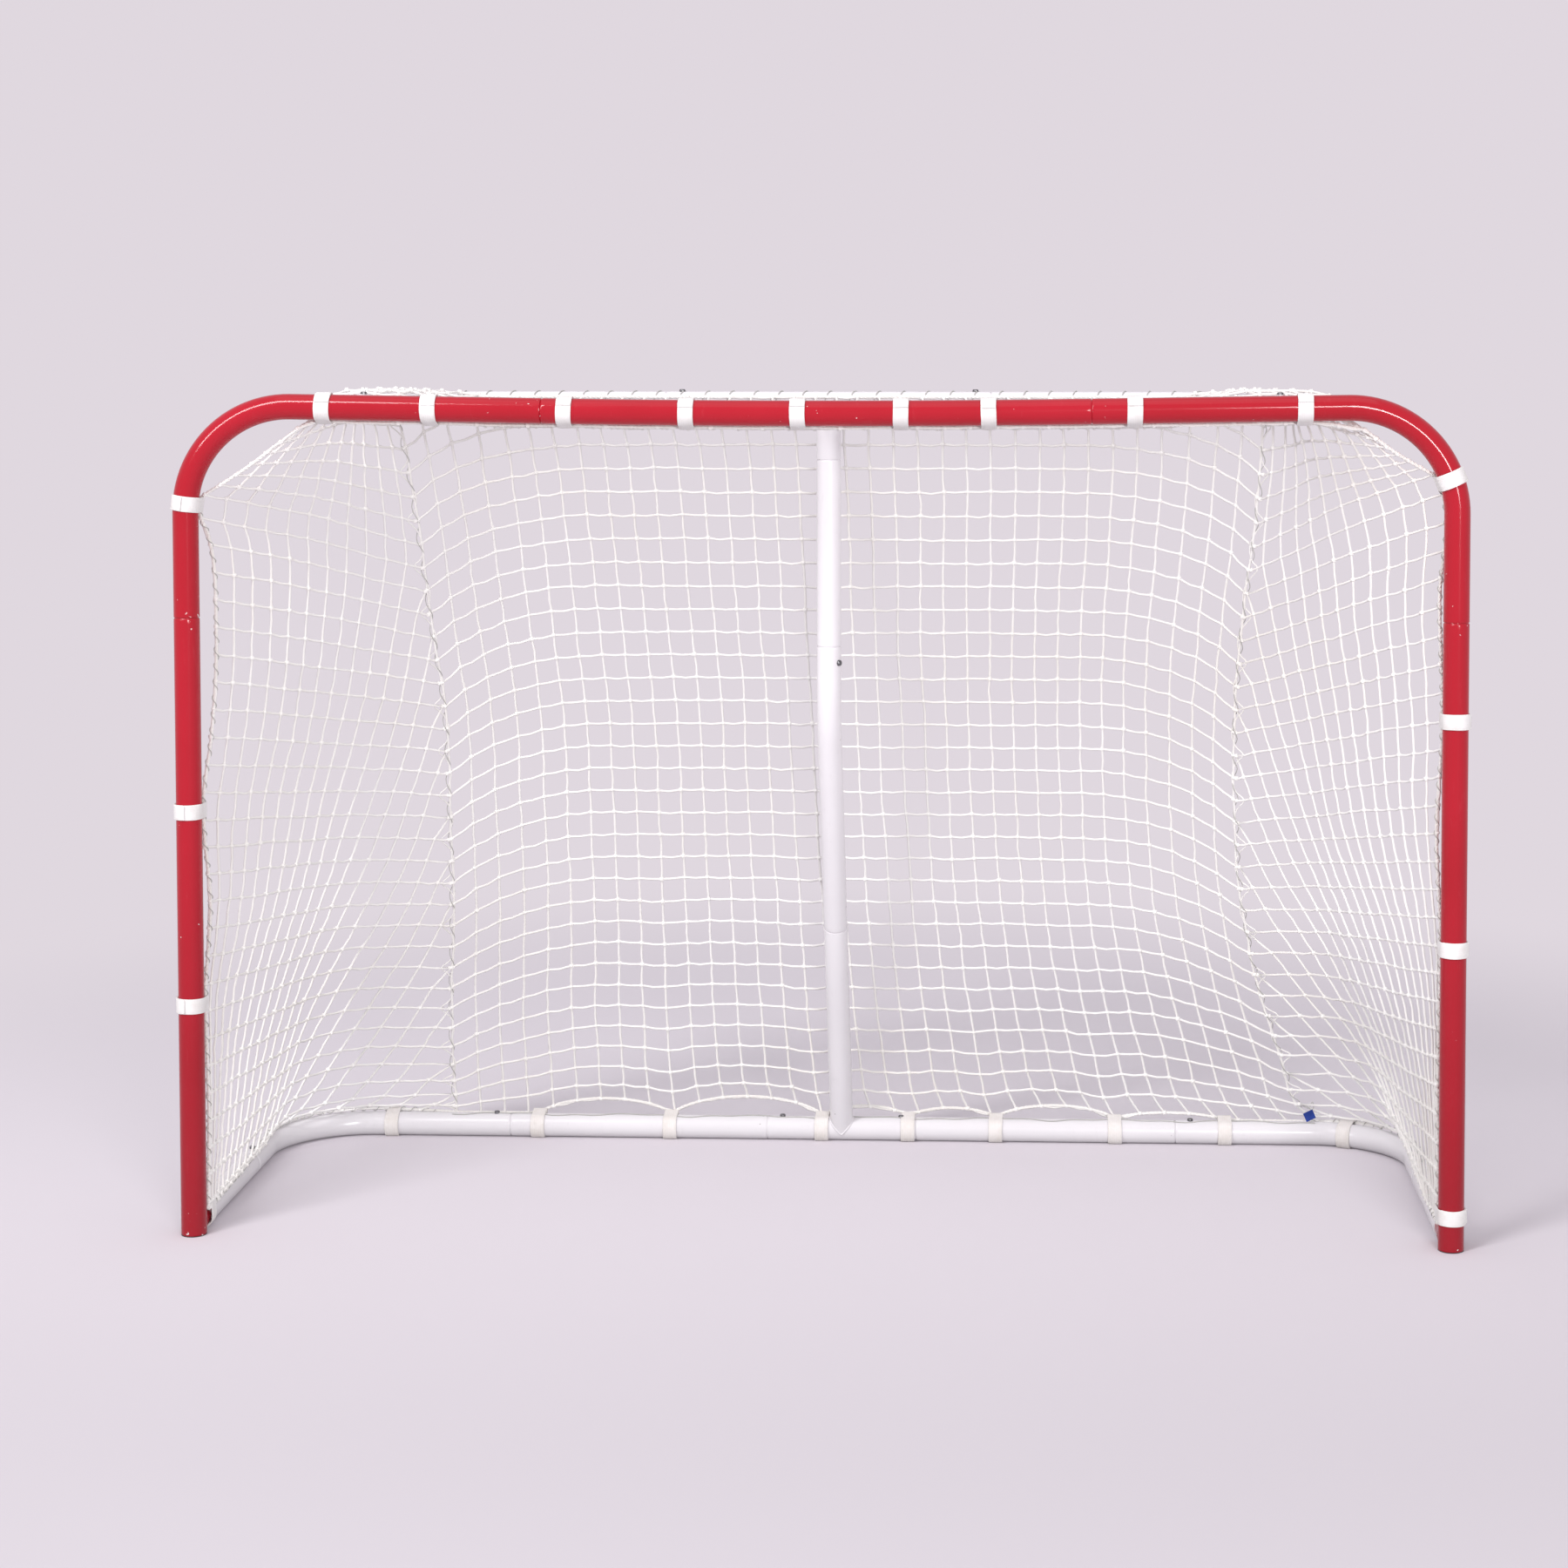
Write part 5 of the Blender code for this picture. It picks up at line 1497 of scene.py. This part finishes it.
def sideSurface(side, sign):
    post = smoothPath(frontEdge(side, sign), 5)
    corner = smoothPath(cornerEdge(side, sign), 5)
    top = smoothPath(topEdge(side, sign), 5)
    foldRow, footRow = net[side + "Fold"], net[side + "FootRow"]
    fold = foldRow / net["backRows"]
    start = footStart()
    end = seamEnds(side)[1] + net["seamGap"] / 2
    seamSide = 0 if side == "left" else 1

    def footAt(across):
        angle = mix(net["footEdge"], net["backFoot"], across**2)
        point = besideTube(baseShape, sign * mix(start, end, across), angle)
        return point + zAxis * 0.4 * archAt(point.x) * smoothStep(across, 0.7, 1.0)

    def seamAt(up):
        height = max(0.0, min(1.0, dropped(seamSide, up)))
        return backSurface(seamSide, height) + xAxis * sign * net["seamGap"] / 2

    corners = footAt(0), footAt(1), pathAt(top, 0), pathAt(top, 1)

    def nearAt(up):
        if up < fold:
            row = up * net["backRows"]
            return pathAt(post, max(0.0, row - footRow) / (foldRow - footRow))
        return pathAt(corner, min(1.0, (up - fold) / (seamTop() - fold)))

    def surface(across, up):
        nearPoint, farPoint = nearAt(up), seamAt(up)
        foot, head = footAt(across), pathAt(top, across)
        footFlat = mix(corners[0], corners[1], across)
        topFlat = mix(corners[2], corners[3], across)
        bulgeFoot, bulgeTop = foot - footFlat, head - topFlat
        high = min(1.0, up / seamTop())
        return mix(nearPoint, farPoint, across) + bulgeFoot * (1 - high) ** 2.4 + bulgeTop * high**6

    return surface


def sideNet(side, sign):
    rows = net["backRows"] + net["extraRows"]
    footColumns, topColumns = net[side + "Columns"]
    surface = sideSurface(side, sign)
    lattice = Lattice(surface, 4.7 + sign)

    def columnsAt(row):
        return mix(footColumns, topColumns, min(1.0, row / (rows * 0.8)))

    count = footColumns + 1
    for r in range(rows + 1):
        width = columnsAt(r)
        up = rowUp(r)
        gather = mix(net[side + "Gather"], 1, smoothStep(up, 0.0, 0.55))
        gather = mix(gather, net["topGather"], smoothStep(up, 0.86, 1.05))
        for c in range(count):
            if c < width - 0.4:
                lattice.knot((c, r), (c / width) ** gather, up)
        lattice.knot(("seam", r), 1.0, up, True, 0.001)
    for r in range(rows + 1):
        width = columnsAt(r)
        inside = [c for c in range(count) if c < width - 0.4]
        for c in inside:
            target = (c + 1, r) if c + 1 in inside else ("seam", r)
            lattice.cord((c, r), target, 0.0012)
            above = (c, r + 1) if (c, r + 1) in lattice.index else ("seam", r + 1)
            lattice.cord((c, r), above)
    lattice.make(f"{side}Net", [f"{side}_net"], net["sideRadius"])


def roofNet():
    g = goal
    front = []
    for number, seat in enumerate(crossbarSeats):
        if number:
            front.append(slackCord(crossbarSeats[number - 1], seat, net["crossbarSag"]))
        front += cordThrough(seat)
    front = [freeCorner("left", -1)] + front + [freeCorner("right", 1)]
    front = smoothPath(front, 4)
    leftTop, rightTop = seamEnds("left")[0], seamEnds("right")[0]

    def surface(across, up):
        a = pathAt(front, across)
        b = besideTube(topShape, mix(-leftTop, rightTop, across), net["roofBack"])
        point = mix(a, b, up)
        # it sags between the bars, and rides up over the arms at its two sides
        side = smoothStep(abs(point.x), 0.50, 0.64)
        sag = net["roofSag"] * sin(pi * up) * (1 - side)
        over = g["topZ"] + strap["cordReach"] * 0.97
        lift = smoothStep(up, 0.05, 0.35) * side
        point.z = mix(point.z - sag, max(point.z, over), lift)
        return point

    rows, columns = net["roofRows"], net["roofColumns"]
    lattice = Lattice(surface, 9.1)
    for r in range(rows + 1):
        for c in range(columns + 1):
            lattice.knot((c, r), c / columns, r / rows)
    for r in range(rows + 1):
        for c in range(columns + 1):
            lattice.cord((c, r), (c + 1, r), 0.0008)
            lattice.cord((c, r), (c, r + 1), 0.0008)
    lattice.make("roofNet", ["roof_net"], net["sideRadius"])
    return front


backNet()
sideNet("left", -1)
sideNet("right", 1)
roofFront = roofNet()
print("net knotted")


# ropes and lacing

rope = {
    "edge": 0.00150,
    "lacing": 0.00115,
    "twine": 0.0007,
    "topTwine": 0.0009,
    "baseTwine": 0.0008,
    "lay": 0.020,
    "step": 0.004,
    "pitch": 0.038,
    "phase": 0.4,
    "turnPoints": 18,
    "windReach": 0.0010,
}


def makeRope(name, line):
    mesh = grown(name, lineMesh(name, [line]), laidRope, {
        "Strand Radius": rope["edge"], "Strand Offset": rope["edge"], "Lay Length": rope["lay"],
        "Step": rope["step"], "Material": edgeRope,
    })
    placeObject(name, mesh, edgeRope, slot="net_cord")


def makeCord(name, line, gauge, material=shadowGreyTwine):
    mesh = grown(name, lineMesh(name, [line]), plainCord, {"Cord Radius": gauge, "Material": material})
    placeObject(name, mesh, material, slot="net_cord")


def lifted(points, clear):
    return [outsideTubes(p, clear) for p in points]


def spiralRound(shape, start, end, reach):
    # a cord wound round a U-shaped frame's tube
    length, per = end - start, rope["turnPoints"]
    count = int(length / rope["pitch"] * per)
    return [besideTube(shape, start + length * i / count, rope["phase"] + 2 * pi * i / per, reach)
            for i in range(count + 1)]


def whipped(line, reach, pitch, per=8):
    # a cord wound round another line
    lengths = [(q - p).length for p, q in zip(line, line[1:])]
    count = int(sum(lengths) / pitch * per)
    path = []
    for i in range(count + 1):
        place, onward = pathAt(line, i / count), pathAt(line, min(1.0, (i + 0.5) / count))
        back = pathAt(line, max(0.0, (i - 0.5) / count))
        along = (onward - back).normalized()
        side = along.cross(yAxis if abs(along.y) < 0.8 else zAxis).normalized()
        angle = 2 * pi * i / per
        path.append(place + reach * (cos(angle) * side + sin(angle) * side.cross(along)))
    return lifted(path, tube["radius"] + rope["twine"] + 0.0003)


def makeEdges():
    clear = tube["radius"] + 2 * rope["edge"] + 0.0005
    for side, sign in bothSides:
        up = smoothPath(frontEdge(side, sign), 8)
        over = smoothPath(cornerEdge(side, sign), 10)
        makeRope(f"{side}FrontRope", lifted(up + over[1:], clear))
    makeRope("crossbarRope", lifted(roofFront, clear))
    leftTop, rightTop = seamEnds("left")[0], seamEnds("right")[0]
    count = 160
    back = [besideTube(topShape, mix(-leftTop, rightTop, i / count), net["backTop"]) for i in range(count + 1)]
    roof = [besideTube(topShape, mix(-leftTop, rightTop, i / count), net["roofBack"]) for i in range(count + 1)]
    makeRope("topBackRope", back)
    makeRope("roofBackRope", roof)
    makeRope("footRope", lifted([backSurface(i / count / 2, 0.0) for i in range(count * 2 + 1)], clear))
    for side, sign in bothSides:
        surface = sideSurface(side, sign)
        makeRope(f"{side}LegRope", lifted([surface(i / 90, 0.0) for i in range(91)], clear))
        arm = [surface(i / 40, seamTop()) for i in range(41)]
        makeRope(f"{side}ArmRope", lifted(arm, clear))


def makeLacing():
    radius = tube["radius"]
    # round the top frame's back bar, from bend to bend; its grey is painted shadow, standing in for the shadow lines
    # the lacing casts on the white bar
    leftTop, rightTop = seamEnds("left")[0], seamEnds("right")[0]
    wound = spiralRound(topShape, -leftTop, rightTop, radius + rope["windReach"])
    makeCord("topLacing", wound, rope["topTwine"])
    # thin twine lies along the top of the back bar, under the straps; its grey is painted shadow, for the dark shadow
    # line along the bar's top
    path = []
    count = 260
    for i in range(count + 1):
        x = mix(-net["leftFoot"], net["rightFoot"], i / count)
        angle = radians(-14 + 9 * sin(x * 31) + 5 * sin(x * 83 + 1))
        out = Vector((0, sin(angle), cos(angle))) * (radius + 0.0009)
        path.append(Vector((x, goal["backY"], goal["floorZ"])) + out)
    makeCord("baseTwine", path, rope["baseTwine"])
    # each seam: a cord runs down it, and draws in the side panel at every second row
    rows = net["backRows"] + net["extraRows"]
    for side, sign, across in (("left", -1, 0), ("right", 1, 1)):
        surface = sideSurface(side, sign)
        path = []
        for r in range(rows, -1, -1):
            up = rowUp(r)
            step = 0.4 / rows
            middle = [surface(1.0, max(0.0, up + k * step)) for k in (1, 0, -1)]
            if r % 2:
                width = (surface(0.5, up) - surface(1.0, up)).length * 2
                path += [middle[0], surface(1 - 0.015 / width, up), middle[2]]
            else:
                path += [backSurface(across, max(0.0, min(1.0, dropped(across, up)))) - xAxis * sign * 0.005]
        path = [jitter(p, 0.0010, 3.3) for p in path]
        makeCord(f"{side}SeamLacing", lifted(smoothPath(path, 3), radius + 0.0025), rope["lacing"], netCord)
        # thin twine whips the edges to their ropes: along the leg, down the seam and up the post; its grey is painted
        # shadow, so the whipping shows as shaded grey dashes
        leg = [surface(0.02 + 0.94 * i / 90, 0.0) for i in range(91)]
        makeCord(f"{side}LegLacing", whipped(leg, 0.0042, 0.019), rope["twine"])
        seam = [surface(1.0, seamTop() * (1 - i / 120)) - xAxis * sign * 0.002 for i in range(121)]
        makeCord(f"{side}SeamTwine", whipped(seam, 0.0040, 0.052), rope["twine"])
        post = lifted(smoothPath(frontEdge(side, sign), 8), radius + 2 * rope["edge"] + 0.0005)
        makeCord(f"{side}PostTwine", whipped(post, 2 * rope["edge"] + rope["twine"], 0.024), rope["twine"])


makeEdges()
makeLacing()
print("ropes laid and laced")


# a plain blue cloth tag is tied in at the foot of the right seam

tag = {"size": (0.017, 0.015), "gauge": 0.0012, "place": (0.777, 0.279, 0.050), "tilt": radians(-24)}


def makeTag():
    wide, high = tag["size"]
    points, faces = [], []
    columns, rows = 9, 7
    for side in (0.5, -0.5):
        for j in range(rows):
            for i in range(columns):
                u, v = i / (columns - 1) - 0.5, j / (rows - 1) - 0.5
                curl = 0.0016 * sin(3.1 * u + 0.8) + 0.0010 * cos(5.0 * v)
                points.append(Vector((u * wide, curl + side * tag["gauge"] * (1 - 0.5 * (abs(u) > 0.49)), v * high)))
    for layer in (0, 1):
        for j in range(rows - 1):
            for i in range(columns - 1):
                a = layer * rows * columns + j * columns + i
                faces.append((a, a + 1, a + columns + 1, a + columns))
    rim = list(range(columns)) + [j * columns + columns - 1 for j in range(1, rows)]
    rim += [(rows - 1) * columns + i for i in range(columns - 2, -1, -1)]
    rim += [j * columns for j in range(rows - 2, 0, -1)]
    for a, b in zip(rim, rim[1:] + rim[:1]):
        faces.append((a, b, b + rows * columns, a + rows * columns))
    turn = Matrix.Translation(tag["place"]) @ Matrix.Rotation(tag["tilt"], 4, "Y")
    mesh = meshOf("seamTag", [turn @ p for p in points], faces)
    layer = mesh.uv_layers.new(name="weave")
    for loop in mesh.loops:
        spot = turn.inverted() @ mesh.vertices[loop.vertex_index].co
        layer.data[loop.index].uv = spot.x, spot.z
    smoothMesh(mesh, 50)
    placeObject("seamTag", mesh, tagWebbing, slot="strap_webbing")
    top = turn @ Vector((wide * 0.3, 0.0015, high * 0.35))
    tie = Vector((tag["place"][0] + 0.006, tag["place"][1] + 0.012, tag["place"][2] + 0.020))
    loop = smoothPath([top, mix(top, tie, 0.5) + xAxis * 0.003, tie, mix(top, tie, 0.5) - xAxis * 0.003], 5, True)
    makeCord("seamTagTie", loop, rope["twine"])


makeTag()
print("tag tied on")


# camera, floor and light

view = {
    "place": (0.3250, -4.6938, 1.3472),
    "yaw": 2.438,
    "pitch": 2.916,
    "lens": 69.368,
    "shift": (-0.08, -0.19),
}
camera = bpy.data.objects.new("camera", bpy.data.cameras.new("camera"))
bpy.context.scene.collection.objects.link(camera)
camera.location = view["place"]
camera.rotation_euler = (radians(90 - view["pitch"]), 0, radians(view["yaw"]))
camera.data.sensor_width = 36
camera.data.lens = view["lens"]
camera.data.shift_x, camera.data.shift_y = view["shift"]
camera.data.dof.use_dof = False
bpy.context.scene.camera = camera

studio = {
    "backdrop": (0.745, 0.686, 0.740),
    "floor": (0.735, 0.685, 0.735),
    "bounce": (0.50, 0.48, 0.50),
    "dome": 0.58,
    "leftStrip": 345.0,
    "rightStrip": 345.0,
    "overhead": 30.0,
    # painted shade: the floor in front of the goal is darkened by this share over shadeSpan
    "frontShade": 0.855,
    "shadeSpan": (-1.3, 0.0),
    "fadeSpan": (1.35, 2.7),
}


def makeFloor():
    mesh = bpy.data.meshes.new("floor")
    half = 40
    mesh.from_pydata([(-half, -half, 0), (half, -half, 0), (half, half, 0), (-half, half, 0)], [], [(0, 1, 2, 3)])
    floor = bpy.data.objects.new("floor", mesh)
    bpy.context.scene.collection.objects.link(floor)
    material = bpy.data.materials.new("studioFloor")
    material.use_nodes = True
    tree = material.node_tree
    tree.nodes.remove(tree.nodes["Principled BSDF"])
    out = tree.nodes["Material Output"]
    seen = seenDirectly(tree)
    place = addNode(tree, "ShaderNodeTexCoord").outputs["Object"]
    # painted light: a pool of light is painted on the floor round the goal, and the floor in front of it is painted
    # darker as shade
    depth = addNode(tree, "ShaderNodeSeparateXYZ", {"Vector": place}).outputs["Y"]
    near = smoothRange(tree, depth, *studio["shadeSpan"])
    paintedFloorShade = mixColour(tree, near, tuple(studio["frontShade"] * c for c in studio["floor"]), studio["floor"])
    colour = mixColour(tree, seen, studio["bounce"], paintedFloorShade)
    matt = addNode(tree, "ShaderNodeBsdfDiffuse", {"Color": colour})
    far = addNode(tree, "ShaderNodeEmission", {"Color": (*studio["backdrop"], 1), "Strength": 1.0})
    # the floor fades into the backdrop well away from the goal
    away = addNode(tree, "ShaderNodeVectorMath", {0: place}, operation="LENGTH").outputs["Value"]
    both = addNode(tree, "ShaderNodeMixShader", {0: smoothRange(tree, away, *studio["fadeSpan"])})
    tree.links.new(matt.outputs[0], both.inputs[1])
    tree.links.new(far.outputs[0], both.inputs[2])
    tree.links.new(both.outputs[0], out.inputs["Surface"])
    mesh.materials.append(material)


def makeWorld():
    world = bpy.data.worlds.new("studio")
    bpy.context.scene.world = world
    world.use_nodes = True
    tree = world.node_tree
    seen = seenDirectly(tree)
    background = tree.nodes["Background"]
    tree.links.new(mixColour(tree, seen, (0.98, 0.96, 1.0), studio["backdrop"]), background.inputs["Color"])
    strength = addNode(tree, "ShaderNodeMapRange", {"Value": seen, "To Min": studio["dome"], "To Max": 1.0})
    tree.links.new(strength.outputs[0], background.inputs["Strength"])


def areaLight(name, place, aim, size, power, along):
    lamp = bpy.data.lights.new(name, "AREA")
    lamp.shape = "RECTANGLE"
    lamp.size, lamp.size_y = size
    lamp.energy = power
    thing = bpy.data.objects.new(name, lamp)
    bpy.context.scene.collection.objects.link(thing)
    back = (Vector(place) - Vector(aim)).normalized()
    across = (Vector(along) - back * back.dot(Vector(along))).normalized()
    thing.location = place
    thing.rotation_euler = Matrix((across, back.cross(across), back)).transposed().to_euler()


makeFloor()
makeWorld()
# two leaning strips draw the long thin lights on the bends
areaLight("leftStrip", (-3.92, -5.06, 5.08), (-0.4, 0, 0.8), (5.6, 1.0), studio["leftStrip"], (0.8, 0.24, 0.82))
areaLight("rightStrip", (2.6, -8.0, 2.3), (0.3, 0, 0.8), (3.3, 1.0), studio["rightStrip"], (-1, 0, 1))
areaLight("overhead", (0, -1.2, 6.0), (0, 0, 0), (5.0, 4.0), studio["overhead"], (1, 0, 0))
bpy.context.scene.view_settings.view_transform = "Standard"
print("stage set")
